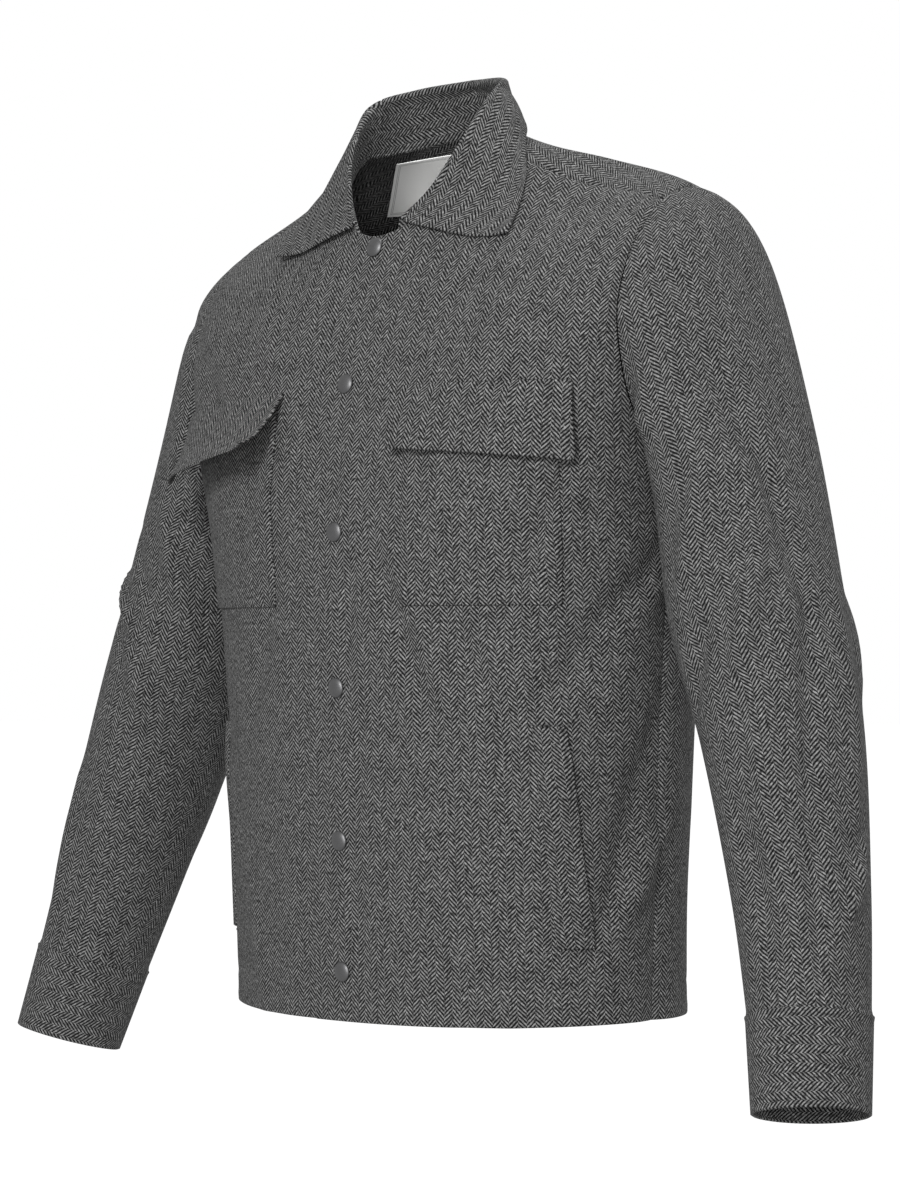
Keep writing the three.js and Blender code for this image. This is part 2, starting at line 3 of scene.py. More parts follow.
import bpy
import numpy as np
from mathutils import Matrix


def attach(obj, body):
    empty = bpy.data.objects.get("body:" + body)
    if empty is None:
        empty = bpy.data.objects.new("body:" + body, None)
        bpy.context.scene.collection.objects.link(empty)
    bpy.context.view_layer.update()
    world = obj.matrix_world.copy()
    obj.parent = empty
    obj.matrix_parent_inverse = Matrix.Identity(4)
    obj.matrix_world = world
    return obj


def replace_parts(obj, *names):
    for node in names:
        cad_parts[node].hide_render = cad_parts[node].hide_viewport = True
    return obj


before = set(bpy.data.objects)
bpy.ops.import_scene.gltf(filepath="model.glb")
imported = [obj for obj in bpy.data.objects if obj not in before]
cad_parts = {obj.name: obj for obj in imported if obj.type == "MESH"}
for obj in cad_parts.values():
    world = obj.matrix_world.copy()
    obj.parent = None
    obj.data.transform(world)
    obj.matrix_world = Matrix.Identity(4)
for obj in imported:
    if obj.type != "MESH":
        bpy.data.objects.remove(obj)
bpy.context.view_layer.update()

# The looks of a herringbone overshirt, worn closed with nobody in it. Each cloth piece is a thin
# closed shell on the form of its solid, with its creases, seams and edges. Lengths below are in
# millimetres unless a name says otherwise, and become metres when a mesh is made. The front faces
# -Y and +X is the wearer's left.

# Sizes, as in the part's source
CLOTH = 1.6
DOUBLED = 2.4
SEAM_GAP = 0.36
LAID_GAP = 0.6
ARMHOLE_X = 229
ARMPIT_AT = 0.55
YOKE_BACK_Z = -98
YOKE_FRONT = {"neckX": 74, "neckY": -48, "tipX": 229, "tipY": -34}
OVERLAP = 28
OVERLAP_DROP = 2.1
OVERLAP_EASE = 36


def table(columns, rows):
    """A table of named columns, each an array."""
    return {name: np.array([row[k] for row in rows], float) for k, name in enumerate(columns.split())}


BODY = table("at frontY sideY backY frontZ sideZ backZ half square lift", [
    [0.0, -144, -14, 117, -691, -686, -686, 205, 2.15, 1.6],
    [0.2, -149, -15, 116, -536, -531, -531, 212, 2.1, 1.6],
    [0.4, -153, -15, 117, -390, -380, -382, 219, 2.2, 1.6],
    [0.5, -154, -14, 119, -322, -300, -312, 223, 2.4, 1.6],
    [0.55, -153, -13, 120, -290, -261, -277, 228, 2.55, 1.6],
    [0.65, -147, -10, 123, -230, -188, -208, 240, 2.9, 1.6],
    [0.75, -137, -5, 121, -179, -118, -145, 246, 3.0, 1.5],
    [0.85, -124, 0, 104, -135, -56, -85, 232, 2.4, 1.3],
    [0.92, -114, -10, 68, -108, -28, -36, 158, 2.1, 1.15],
    [1.0, -107, -36, 20, -83, -8, 9, 74, 2.0, 1.4],
])
SLEEVE = table("at topX topZ underX underZ frontY backY skew pitch blend square", [
    [0.0, 229, -54, 229, -262, -96, 72, 0, 0.0, 0.0, 2.1],
    [0.04, 240, -58, 232, -264, -95, 72, 3, 0.0, 0.12, 2.1],
    [0.1, 253, -68, 235, -270, -93, 70, 8, 0.0, 0.45, 2.15],
    [0.17, 266, -90, 236, -278, -90, 68, 12, 0.0, 0.8, 2.2],
    [0.25, 283, -131, 236, -287, -87, 64, 15, 0.0, 1.0, 2.25],
    [0.34, 305, -191, 236, -299, -85, 60, 15, 0.01, 1.0, 2.25],
    [0.45, 331, -266, 237, -320, -83, 55, 13, 0.03, 1.0, 2.25],
    [0.58, 361, -358, 247, -396, -83, 49, 7, 0.08, 1.0, 2.2],
    [0.72, 390, -457, 281, -486, -86, 39, 2, 0.13, 1.0, 2.1],
    [0.87, 414, -574, 320, -597, -93, 11, 0, 0.17, 1.0, 2.1],
    [1.0, 429, -661, 346, -677, -104, -12, 0, 0.2, 1.0, 2.1],
])
CUFF_END = {"topX": 442, "topZ": -729, "underX": 361, "underZ": -743, "frontY": -117, "backY": -31,
            "skew": 0, "pitch": 0.2, "blend": 1, "square": 2.1}
CUFF_STEP = 1.2
COLLAR = table("angle foldX foldY foldZ midX midY midZ edgeX edgeY edgeZ", [
    [17, 26, -105, -70, 74, -102, -84, 122, -82, -96],
    [35, 44, -92, -49, 86, -85, -62, 120, -73, -78],
    [50, 57, -80, -23, 91, -70, -38, 116, -63, -58],
    [65, 65, -66, 3, 90, -58, -15, 109, -52, -38],
    [90, 67, -44, 31, 82, -40, 12, 93, -38, -12],
    [130, 48, -13, 45, 53, -6, 28, 62, -3, 6],
    [180, 0, 3, 50, 0, 18, 34, 0, 36, 8],
])
FOLD_RADIUS = 2.6
STAND_FOOT = 2.3
STAND_SEAM = 0.2  # the stand's foot above the neckline's cloth, where it is sewn on
COLLAR_SLACK = 0.25
WORN = {"fall": 13, "from": 70, "to": 235, "above": -110, "below": -340}
POCKET = {"top": -217, "bottom": -371, "topInner": 71, "topOuter": 194, "bottomInner": 70, "bottomOuter": 185}
FLAP = {"top": -205, "bottom": -261, "rise": 9,
        "topInner": 66, "topOuter": 204, "bottomInner": 63, "bottomOuter": 200}
WELT = {"top": -463, "bottom": -629, "topInner": 164, "topOuter": 183, "bottomInner": 174, "bottomOuter": 192}
FLARE = {"left": (3, 5), "right": (32, 25)}
FLARE_CURVE = 1.6
SNAP = {"across": 2, "radius": 7.8, "height": 3.7, "lip": 0.8, "heights": [-92, -200, -314, -434, -552, -653]}
LABEL = {"angle": 217, "width": 64, "top": 0.985, "bottom": 0.91, "thick": 0.8, "slack": 0.8}
LAID = CLOTH / 2 + LAID_GAP

# Grid steps
STEPS = {"around": 60, "below": 90, "armhole": 40, "shoulder": 20, "yokeSide": 40, "yokeBack": 50,
         "ring": 112, "sleeve": 150, "cuff": 22, "collar": 130, "stand": 12, "fold": 8, "fall": 26,
         "patchUp": 36, "patchAcross": 44, "weltAcross": 10, "labelUp": 16, "labelAcross": 40,
         "snap": 40, "snapDome": 14, "stitchLong": 6, "stitchRound": 8}
# Places on the body's scale between which the lines of the shoulder are looked for
SEARCH = {"seam": 0.7, "ridge": 0.75, "armhole": 0.76, "end": 0.95}
QUARTER = math.pi / 2
MM = 0.001
UPRIGHT = np.array([0, 0, 1.0])
ACROSS = np.array([1.0, 0, 0])

# Folds of the body: soft ridges, or troughs where height is under 0, from one place to another.
# girth is measured round the body from centre front, towards the wearer's left, and z is height.
BODY_FOLDS = table("girth0 z0 girth1 z1 width height", [
    [275, -340, 188, -436, 17, -8.5],
    [276, -362, 222, -402, 11, 5.8],
    [270, -470, 232, -585, 17, -8.8],
    [232, -600, 214, -640, 13, -4.4],
    [280, -545, 226, -622, 12, 6.5],
    [196, -470, 178, -560, 15, 3.4],
    [44, -330, 93, -462, 12, -3.7],
    [60, -330, 104, -440, 10, 3.1],
    [56, -395, 80, -470, 9, 2.7],
    [112, -378, 143, -446, 12, -3.1],
    [128, -382, 158, -440, 10, 2.4],
    [16, -250, 12, -300, 8, 2.1],
    [18, -345, 12, -420, 9, -3.1],
    [26, -480, 16, -545, 9, -2.4],
    [14, -575, 22, -640, 11, -2.7],
    [95, -640, 120, -690, 16, -2.7],
    [160, -650, 150, -690, 15, 2.4],
    [206, -272, 160, -372, 13, -4.1],
    [222, -262, 186, -350, 10, 3.1],
    [170, -130, 120, -195, 16, 3.1],
    [206, -165, 165, -205, 13, -3.7],
    [120, -110, 84, -150, 14, -2.5],
    [-280, -340, -200, -450, 18, -7.5],
    [-276, -396, -236, -470, 13, 5.1],
    [-262, -490, -222, -600, 17, -6.5],
    [-70, -350, -110, -460, 14, -2.7],
    [-52, -250, -96, -330, 13, 2.0],
    [-120, -600, -100, -680, 16, 2.7],
    [-200, -160, -150, -205, 14, -4.1],
    [-120, -120, -90, -170, 15, 2.2],
    [-180, -480, -160, -560, 15, 2.7],
])
# Folds of the back, measured round from centre back towards the wearer's left
BACK_FOLDS = table("girth0 z0 girth1 z1 width height", [
    [215, -235, 130, -330, 22, -5.1],
    [225, -290, 165, -400, 18, 4.1],
    [-215, -240, -125, -345, 23, -5.4],
    [-222, -300, -170, -395, 17, 3.7],
    [60, -350, 75, -560, 26, -4.4],
    [-48, -330, -66, -590, 28, -4.1],
    [10, -420, -4, -660, 24, 3.7],
    [140, -470, 125, -650, 22, 3.4],
    [-150, -450, -128, -640, 20, 3.6],
    [95, -130, 78, -240, 18, 2.4],
    [-104, -125, -84, -230, 19, 2.5],
    [190, -520, 200, -660, 18, -3.1],
    [-198, -500, -190, -650, 16, -2.9],
])
# Folds of a sleeve: turn is in degrees round it from its upper line towards the back, at runs from
# the armhole 0 to the cuff 1
SLEEVE_FOLDS = {
    "left": table("turn0 at0 turn1 at1 width height", [
        [-52, 0.3, -26, 0.46, 12, 6.2],
        [-26, 0.46, -14, 0.6, 10, 7.6],
        [-14, 0.6, -34, 0.76, 10, 7.6],
        [-34, 0.76, -40, 0.95, 11, 5.7],
        [-44, 0.55, -74, 0.66, 10, -8.5],
        [-72, 0.44, -96, 0.53, 12, -7.1],
        [-88, 0.6, -122, 0.68, 11, 5.7],
        [-62, 0.7, -72, 0.84, 12, -5.2],
        [10, 0.6, 4, 0.8, 13, -6.2],
        [12, 0.84, -6, 0.9, 9, -6.7],
        [150, 0.36, 110, 0.47, 13, -9.1],
        [128, 0.44, 92, 0.5, 11, 7.1],
        [160, 0.52, 108, 0.6, 13, -9.1],
        [70, 0.55, 40, 0.66, 14, -6.7],
        [-120, 0.16, -95, 0.3, 13, -6.2],
        [-64, 0.08, -50, 0.2, 12, 4.8],
        [-96, 0.8, -80, 0.95, 12, 5.2],
        [120, 0.74, 96, 0.9, 14, -6.2],
        [64, 0.14, 84, 0.28, 15, -5.7],
    ]),
    "right": table("turn0 at0 turn1 at1 width height", [
        [-30, 0.4, -16, 0.54, 13, 5.3],
        [-42, 0.553, -92, 0.612, 6, -6.0],
        [-46, 0.59, -84, 0.645, 7, 4.4],
        [-60, 0.5, -96, 0.56, 9, 4.1],
        [-100, 0.46, -132, 0.56, 12, -7.0],
        [-92, 0.64, -128, 0.7, 11, -5.8],
        [-40, 0.66, -24, 0.82, 13, 4.9],
        [148, 0.38, 106, 0.48, 13, -7.8],
        [124, 0.46, 88, 0.53, 11, 6.4],
        [156, 0.54, 104, 0.62, 13, -7.3],
        [72, 0.57, 44, 0.68, 14, -5.8],
        [-118, 0.18, -92, 0.32, 13, -5.8],
        [-60, 0.1, -48, 0.22, 12, 4.1],
        [-60, 0.8, -74, 0.95, 12, -4.9],
        [24, 0.78, 38, 0.94, 14, 4.4],
        [116, 0.76, 92, 0.92, 14, -5.3],
        [60, 0.16, 82, 0.3, 15, -4.9],
    ]),
}
# The share of a sleeve from which its grain follows the arm's own bend
GRAIN_FROM = 0.3
# Over what distances the body's folds come in: from the armhole's plane, or below it in any case, from
# the neckline on the body's scale, and below the yoke's seam
FADE = {"armhole": (1, 22), "below": (262, 330), "neckline": (0.02, 0.12), "yoke": 40}
SLEEVE_FADE = {"armhole": 0.07, "cuff": 0.03}  # shares of the sleeve

# Small relief. Most of it is a soft line with a height or depth and a width.
SEAM_DIP = {"depth": 1.1, "width": 2.2}
SIDE_HOLLOW = {"depth": 3.0, "width": 13, "above": 250, "below": 420}
HEM = {"height": 0.5, "fold": 3, "foldWidth": 5, "stitch": 25, "stitchWidth": 3.5}
FRONT_EDGE = {"height": 0.5, "width": 3.0}
SLEEVE_HEAD = {"height": 0.9, "width": 3.0}
PUCKER = {"height": 0.16, "length": 9, "start": 2, "waves": ((17, 1.3, 1.0), (29, 0.4, 0.6))}
CUFF_SEAM = {"depth": 0.5, "width": 1.6}
CUFF_WAVE = {"height": 0.25, "turns": 3, "phase": 1.0, "length": 70}
COLLAR_WAVES = ((0.63, 31, 0.6), (0.45, 19, 2.0))  # height, length and phase along the collar
COLLAR_WAVE_FROM, LEAF_FROM = 0.6, 0.5  # shares of the way across the collar
COLLAR_EDGE = {"height": 0.6, "at": 4, "width": 4}
LEAF = {"at": 0.97, "spread": 0.09, "lift": 4.5}
FALL_MIDDLE = 0.45  # where the collar's fall passes its middle point
POCKET_BULGE = {"height": 1.2, "fullness": 1.1}
POCKET_EDGE = {"depth": 0.7, "width": 1.6, "ridge": 0.5, "ridgeAt": 5, "ridgeWidth": 4}
FLAP_WAVE = {"height": 1.3, "turns": 1.35, "phase": 0.9, "power": 1.5, "share": {"left": 1, "right": 0.5}}
FLAP_CURL = {"left": 1.5, "right": 4, "acrossPower": 2.2, "downPower": 1.3}
FLAP_SEAM = 1 / 6  # the share of a flap that comes down from its seam
WELT_LIFT = {"left": 1.6, "right": -0.6, "from": 2, "to": 30}
WELT_SEAM = {"depth": 2.4, "width": 4}
STITCH = {"long": 2.3, "wide": 0.75, "above": 1.0, "blunt": 0.97, "end": 0.02}
# How far a row of tacks runs past a welt's inner and outer corners and above its end, by the end
TACK = {"top": (8, 3, 2), "bottom": (8, 6, -3)}
TACK_PITCH = 3.0
SNAP_LIP = [(1.2, 0), (0.5, 0.08), (0.12, 0.32)]  # inside the snap's radius, and height
SNAP_ROUND = (0.94, 1.12)  # powers that shape the dome across and up
SNAP_SINK = 0.3  # how far a snap sits into the nap

# The weave, in metres: a stripe's width, and the pitch of its twill lines along and across it
STRIPE = 0.0066
TWILL_ALONG = 0.0033
TWILL_ACROSS = 0.0033
# Unevenness of the cloth: noises by waves per metre, detail, roughness and weight
WANDER = (90, 2, 0.5, 0.0012)
YARN = (760, 3, 0.7, 2.6)
YARN_STRETCH = (1.0, 0.45, 1.0)
CLOUD = (60, 3, 0.6, 1.1)
SPECKLE = (330, 2, 0.6)
FLECKS = (420, 2, 0.5, 0.55)
LINE_EDGES = (-0.55, 0.8)
DARK = (0.0025, 0.0025, 0.0027)
LIGHT = (0.08, 0.08, 0.0792)
FLECK = (0.18, 0.18, 0.176)
NAP = {"specular": 0.08, "sheen": 0.01, "sheenRoughness": 0.5, "sheenTint": (0.8, 0.8, 0.8, 1)}
# The label's grain size, its weave's pitches and its border lines' distances from the edge, in metres
LABEL_SIZE = (0.07, 0.077)
LABEL_PITCH = (0.0007, 0.0006)
LABEL_BORDER = {"at": (0.0028, 0.0042), "half": 0.00028}
LABEL_DARK = (0.47, 0.47, 0.462)
LABEL_LIGHT = (0.59, 0.59, 0.58)
LABEL_LINE = (0.19, 0.19, 0.19)
METAL_DARK = (0.05, 0.05, 0.051)
METAL_LIGHT = (0.075, 0.075, 0.076)
METAL_MARKS = (900, 4, 0.6)
THREAD_TWIST = 0.0005
THREAD_DARK = (0.012, 0.012, 0.012)
THREAD_LIGHT = (0.04, 0.04, 0.04)

WORLD_STRENGTH = 1.0
FLOOR = {"z": -1.45, "size": 40, "bounce": (0.1, 0.1, 0.1), "glow": 0.95}
# Each light: name, place, aim, diameter and power, in metres and watts
LIGHTS = [
    ("key", (1.39, -3.11, 1.0), (0, 0, -0.4), 0.9, 190),
    ("top", (0.5, 0.9, 2.0), (0, 0, -0.3), 1.3, 75),
    ("fill", (2.3, -2.45, -0.42), (0, 0, -0.3), 0.9, 70),
]
CAMERA = {"turn": 43, "away": 3, "z": -0.405, "lens": 112.5, "sensor": 36, "shift": (-20 / 1200, 50 / 1200)}


# Helpers

def between(rows, at):
    """Every column at places along the first one, on a smooth curve through the rows."""
    names = list(rows)
    key = rows[names[0]]
    at = np.asarray(at, float)
    k = np.searchsorted(key[1:-1], at, side="left")
    span = key[k + 1] - key[k]
    s = (at - key[k]) / span
    places = np.arange(len(key))
    low, high = np.maximum(places - 1, 0), np.minimum(places + 1, len(key) - 1)
    out = {}
    for name in names:
        value = rows[name]
        slope = (value[high] - value[low]) / (key[high] - key[low])
        out[name] = (
            (2 * s**3 - 3 * s**2 + 1) * value[k]
            + (s**3 - 2 * s**2 + s) * slope[k] * span
            + (3 * s**2 - 2 * s**3) * value[k + 1]
            + (s**3 - s**2) * slope[k + 1] * span
        )
    return out


def power(value, exponent):
    return np.sign(value) * np.abs(value) ** exponent


def mix(a, b, k):
    return a + (b - a) * k


def shares(count):
    return np.linspace(0, 1, count + 1)


def smooth(value, low, high):
    k = np.clip((value - low) / (high - low), 0, 1)
    return k * k * (3 - 2 * k)


def bell(distance, width):
    """A soft line's height, by the distance from it."""
    return np.exp(-((distance / width) ** 2))


def unit(vectors):
    return vectors / np.maximum(np.linalg.norm(vectors, axis=-1, keepdims=True), 1e-12)


def mirrored(points):
    return points * np.array([-1.0, 1.0, 1.0])


def crossing(test, low, high):
    """Where test turns from false to true, for each element."""
    low, high = np.asarray(low, float), np.asarray(high, float)
    for _ in range(34):
        middle = (low + high) / 2
        true = test(middle)
        low, high = np.where(true, low, middle), np.where(true, middle, high)
    return (low + high) / 2


def run(points, axis=0):
    """The length covered along a line of points, from its first one."""
    step = np.linalg.norm(np.diff(points, axis=axis), axis=-1)
    first = np.zeros_like(np.take(step, [0], axis=axis))
    return np.cumsum(np.concatenate([first, step], axis=axis), axis=axis)


def evenly(line, places):
    """Points at shares of the length of one line of points."""
    along = run(line)
    at = np.asarray(places) * along[-1]
    return np.stack([np.interp(at, along, line[:, k]) for k in range(3)], -1)


def worn(points):
    out = points.copy()
    outward = smooth(-points[..., 0], WORN["from"], WORN["to"])
    height = smooth(points[..., 2], WORN["below"], WORN["above"])
    out[..., 2] -= WORN["fall"] * outward * height
    return out


def normals_of(grid, closed=False):
    if closed:
        across = np.roll(grid, -1, axis=1) - np.roll(grid, 1, axis=1)
    else:
        padded = np.concatenate([grid[:, :1], grid, grid[:, -1:]], axis=1)
        across = padded[:, 2:] - padded[:, :-2]
    tall = np.concatenate([grid[:1], grid, grid[-1:]], axis=0)
    return unit(np.cross(across, tall[2:] - tall[:-2]))


def summed(points, ways, axis):
    """The length covered in the direction of ways, added up along one axis of a grid."""
    ways = np.moveaxis(ways, axis, 0)
    step = (np.diff(np.moveaxis(points, axis, 0), axis=0) * (ways[1:] + ways[:-1]) / 2).sum(axis=-1)
    total = np.cumsum(np.concatenate([np.zeros_like(step[:1]), step]), axis=0)
    return np.moveaxis(total, 0, axis)


def laid_grain(grid, way, column=0, closed=False):
    """The grain's coordinates u across and v along a way, summed down one column and out along rows."""
    normals = normals_of(grid, closed)
    if closed:
        grid, normals = (np.concatenate([x, x[:, :1]], axis=1) for x in (grid, normals))
    along = unit(way - (way * normals).sum(axis=-1, keepdims=True) * normals)
    out = []
    for ways in (np.cross(along, normals), along):
        out_from = slice(column, column + 1)
        rows = summed(grid, ways, 1)
        out.append(rows - rows[:, out_from] + summed(grid[:, out_from], ways[:, out_from], 0))
    return out


def folds(rows, u, v):
    """The relief of a table of folds at places u, v."""
    out = np.zeros(np.broadcast(u, v).shape)
    for u0, v0, u1, v1, width, height in zip(*rows.values()):
        du, dv = u1 - u0, v1 - v0
        length = math.hypot(du, dv)
        along = ((u - u0) * du + (v - v0) * dv) / length**2
        off = np.abs((u - u0) * dv - (v - v0) * du) / length
        over = np.maximum(np.abs(along - 0.5) - 0.5, 0) * length
        # A fold is widest and deepest in its middle, and dies away past its ends
        taper = 0.55 + 0.45 * np.cos(math.pi * np.clip(along - 0.5, -0.5, 0.5))
        out += height * taper * bell(off, width * taper) * bell(over, 1.4 * width)
    return out


# The body's form

def body_point(angle, at):
    angle, at = np.broadcast_arrays(np.asarray(angle, float), np.asarray(at, float))
    c = between(BODY, at)
    across, ahead = np.sin(angle), np.cos(angle)
    centre_y = np.where(ahead >= 0, c["frontY"], c["backY"])
    centre_z = np.where(ahead >= 0, c["frontZ"], c["backZ"])
    exponent = 2 / c["square"]
    return np.stack([
        c["half"] * power(across, exponent),
        c["sideY"] + (centre_y - c["sideY"]) * np.abs(ahead) ** exponent,
        c["sideZ"] + (centre_z - c["sideZ"]) * np.abs(ahead) ** c["lift"],
    ], -1)


def body_normal(angle, at):
    step = 1e-4
    low = np.minimum(at, 1 - step)
    around = body_point(angle + step, at) - body_point(angle - step, at)
    up = body_point(angle, low + step) - body_point(angle, low - step)
    return unit(np.cross(around, up))


def inside_armhole(angle, at):
    reach = body_point(angle, at)[..., 0] + body_normal(angle, at)[..., 0] * CLOTH / 2
    return reach <= ARMHOLE_X - SEAM_GAP / 2


def ahead_of_yoke(angle, at):
    p = body_point(angle, at)
    f = YOKE_FRONT
    return p[..., 1] < mix(f["neckY"], f["tipY"], (p[..., 0] - f["neckX"]) / (f["tipX"] - f["neckX"]))


def armhole_front(at):
    return crossing(lambda a: ~inside_armhole(a, at), 0 * at, QUARTER + 0 * at)


def armhole_back(at):
    return crossing(lambda a: inside_armhole(a, at), QUARTER + 0 * at, math.pi + 0 * at)


def shoulder_seam(at):
    return crossing(lambda a: ~ahead_of_yoke(a, at), 0 * at, QUARTER + 0 * at)


# Where the shoulder seam meets the armhole, and where the armhole crosses the shoulder's ridge
YOKE_TIP_AT = float(crossing(lambda at: shoulder_seam(at) < armhole_front(at), SEARCH["seam"], SEARCH["end"]))
TIP_AT = float(crossing(lambda at: inside_armhole(QUARTER, at), SEARCH["ridge"], SEARCH["end"]))

# How far round the body a place is from centre front, by a table over height and angle
GIRTH_STEPS = {"around": 360, "up": 120}
GIRTH_ANGLES = np.linspace(0, math.pi, GIRTH_STEPS["around"] + 1)
GIRTH_PLACES = np.linspace(0, 1, GIRTH_STEPS["up"] + 1)
GIRTHS = run(body_point(GIRTH_ANGLES[None, :], GIRTH_PLACES[:, None]), axis=1)


def girth(angle, at):
    """The distance round the body from centre front."""
    angle, at = np.broadcast_arrays(np.abs(angle), at)
    a = np.clip(angle / math.pi * GIRTH_STEPS["around"], 0, GIRTH_STEPS["around"] - 0.001)
    b = np.clip(at * GIRTH_STEPS["up"], 0, GIRTH_STEPS["up"] - 0.001)
    i, j = b.astype(int), a.astype(int)
    fb, fa = b - i, a - j
    low = mix(GIRTHS[i, j], GIRTHS[i, j + 1], fa)
    high = mix(GIRTHS[i + 1, j], GIRTHS[i + 1, j + 1], fa)
    return mix(low, high, fb)


def trimmed(grid, bottom=None, top=None, first=None, last=None, gap=SEAM_GAP / 2):
    """Moves edges in along the grid's own lines. Each edge has a mask of its points, or None."""
    out = grid.copy()
    if bottom is not None:
        out[0][bottom] += gap * unit(grid[1] - grid[0])[bottom]
    if top is not None:
        out[-1][top] += gap * unit(grid[-2] - grid[-1])[top]
    if first is not None:
        out[first, 0] += gap * unit(grid[:, 1] - grid[:, 0])[first]
    if last is not None:
        out[last, -1] += gap * unit(grid[:, -2] - grid[:, -1])[last]
    return out


# Meshes

def edge_rows(layers, near=0.7):
    """Adds a row close to the first and the last one of each layer, by the distances in the first
    layer, so that shading turns at the cloth's edge alone."""
    def share(edge, following):
        distance = np.linalg.norm(following - edge, axis=-1, keepdims=True)
        return np.minimum(near / np.maximum(distance, 1e-9), 0.5)
    first, last = share(layers[0][0], layers[0][1]), share(layers[0][-1], layers[0][-2])
    out = []
    for rows in layers:
        low = rows[:1] + (rows[1:2] - rows[:1]) * first
        high = rows[-1:] + (rows[-2:-1] - rows[-1:]) * last
        out.append(np.concatenate([rows[:1], low, rows[1:-1], high, rows[-1:]], axis=0))
    return out


def new_object(name, points, faces, uvs, material):
    """A mesh object from points in millimetres, quads, and the grain's U and V at each corner."""
    mesh = bpy.data.meshes.new(name)
    mesh.vertices.add(len(points))
    mesh.vertices.foreach_set("co", (points * MM).astype(np.float32).ravel())
    mesh.loops.add(faces.size)
    mesh.loops.foreach_set("vertex_index", faces.astype(np.int32).ravel())
    mesh.polygons.add(len(faces))
    mesh.polygons.foreach_set("loop_start", np.arange(0, faces.size, faces.shape[1], dtype=np.int32))
    mesh.polygons.foreach_set("use_smooth", np.ones(len(faces), bool))
    mesh.update(calc_edges=True)
    layer = mesh.uv_layers.new(name="grain")
    layer.data.foreach_set("uv", (uvs * MM).astype(np.float32).ravel())
    mesh.materials.append(material)
    obj = bpy.data.objects.new(name, mesh)
    bpy.context.scene.collection.objects.link(obj)
    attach(obj, "root")
    return obj


def shell(name, even, thickness, u, v, material, slot="flannel", closed=False, offset=0.0, squares=(),
          rim=0.35):
    """A closed shell of cloth on a grid of points, its middle surface moved out by offset. u and v
    are the grain's coordinates at each point, with one more column on a closed tube."""
    grid = worn(even)
    normals = normals_of(grid, closed)
    for row, way in squares:
        normals[row] = unit(normals[row] - (normals[row] @ way)[:, None] * way)
    offset = np.broadcast_to(np.asarray(offset, float), grid.shape[:2])[..., None]
    outer = grid + normals * (offset + thickness / 2)
    inner = grid + normals * (offset - thickness / 2)
    if closed:
        outer = np.concatenate([outer, outer[:, :1]], axis=1)
        inner = np.concatenate([inner, inner[:, :1]], axis=1)
    grain = np.stack(np.broadcast_arrays(u, v, outer[..., 0])[:2], -1)
    outer, inner, grain = edge_rows([outer, inner, grain])
    if not closed:
        turned = edge_rows([np.swapaxes(x, 0, 1) for x in (outer, inner, grain)])
        outer, inner, grain = (np.swapaxes(x, 0, 1) for x in turned)
    rows, columns = outer.shape[:2]
    ids = np.arange(rows * columns).reshape(rows, columns)
    under = ids + rows * columns
    points = [outer.reshape(-1, 3), inner.reshape(-1, 3)]
    total = 2 * rows * columns
    faces, corners = [], []

    def quads(indices, uvs):
        faces.append(np.stack(indices, -1).reshape(-1, 4))
        corners.append(np.stack(uvs, -2).reshape(-1, 4, 2))

    def cells(x):
        return [x[:-1, :-1], x[:-1, 1:], x[1:, 1:], x[1:, :-1]]

    quads(cells(ids), cells(grain))
    quads(cells(under)[::-1], cells(grain)[::-1])
    middle = (outer + inner) / 2

    def rim_strip(take, beyond, flip):
        """The rounded edge along one border, which a middle line takes out a little."""
        nonlocal total
        line = take(middle) + rim * thickness * unit(take(middle) - beyond)
        line_ids = total + np.arange(len(line))
        points.append(line)
        total += len(line)
        g = take(grain)
        for a, b in ((take(ids), line_ids), (line_ids, take(under))):
            indices, uvs = [a[:-1], a[1:], b[1:], b[:-1]], [g[:-1], g[1:], g[1:], g[:-1]]
            quads(indices[::-1], uvs[::-1]) if flip else quads(indices, uvs)
        return line_ids

    low = rim_strip(lambda x: x[0], middle[2], True)
    high = rim_strip(lambda x: x[-1], middle[-3], False)
    merged = {}
    if closed:
        for x in (ids, under):
            merged.update(zip(x[:, -1], x[:, 0]))
        merged.update({low[-1]: low[0], high[-1]: high[0]})
    else:
        left = rim_strip(lambda x: x[:, 0], middle[:, 2], False)
        right = rim_strip(lambda x: x[:, -1], middle[:, -3], True)
        merged.update({left[0]: low[0], left[-1]: high[0], right[0]: low[-1], right[-1]: high[-1]})
    points = np.concatenate(points)
    same = np.arange(len(points))
    for a, b in merged.items():
        same[a] = b
    used, faces = np.unique(same[np.concatenate(faces)], return_inverse=True)
    return new_object(name + "_cloth", points[used], faces.reshape(-1, 4), np.concatenate(corners), material)


# Materials

def node(tree, kind, inputs=None, **settings):
    made = tree.nodes.new(kind)
    for key, value in settings.items():
        setattr(made, key, value)
    for key, value in (inputs or {}).items():
        if isinstance(value, bpy.types.NodeSocket):
            tree.links.new(value, made.inputs[key])
        else:
            made.inputs[key].default_value = value
    return made


def maths(tree, operation, *values):
    return node(tree, "ShaderNodeMath", dict(enumerate(values)), operation=operation).outputs[0]


def blank(name):
    material = bpy.data.materials.new(name)
    material.use_nodes = True
    tree = material.node_tree
    return material, tree, tree.nodes["Principled BSDF"]


def grain_of(tree):
    uv = node(tree, "ShaderNodeUVMap", uv_map="grain").outputs[0]
    parts = node(tree, "ShaderNodeSeparateXYZ", {0: uv}).outputs
    return uv, parts[0], parts[1]


def noise(tree, vector, scale, detail, roughness=0.5):
    inputs = {"Vector": vector, "Scale": scale, "Detail": detail, "Roughness": roughness}
    return node(tree, "ShaderNodeTexNoise", inputs).outputs[0]


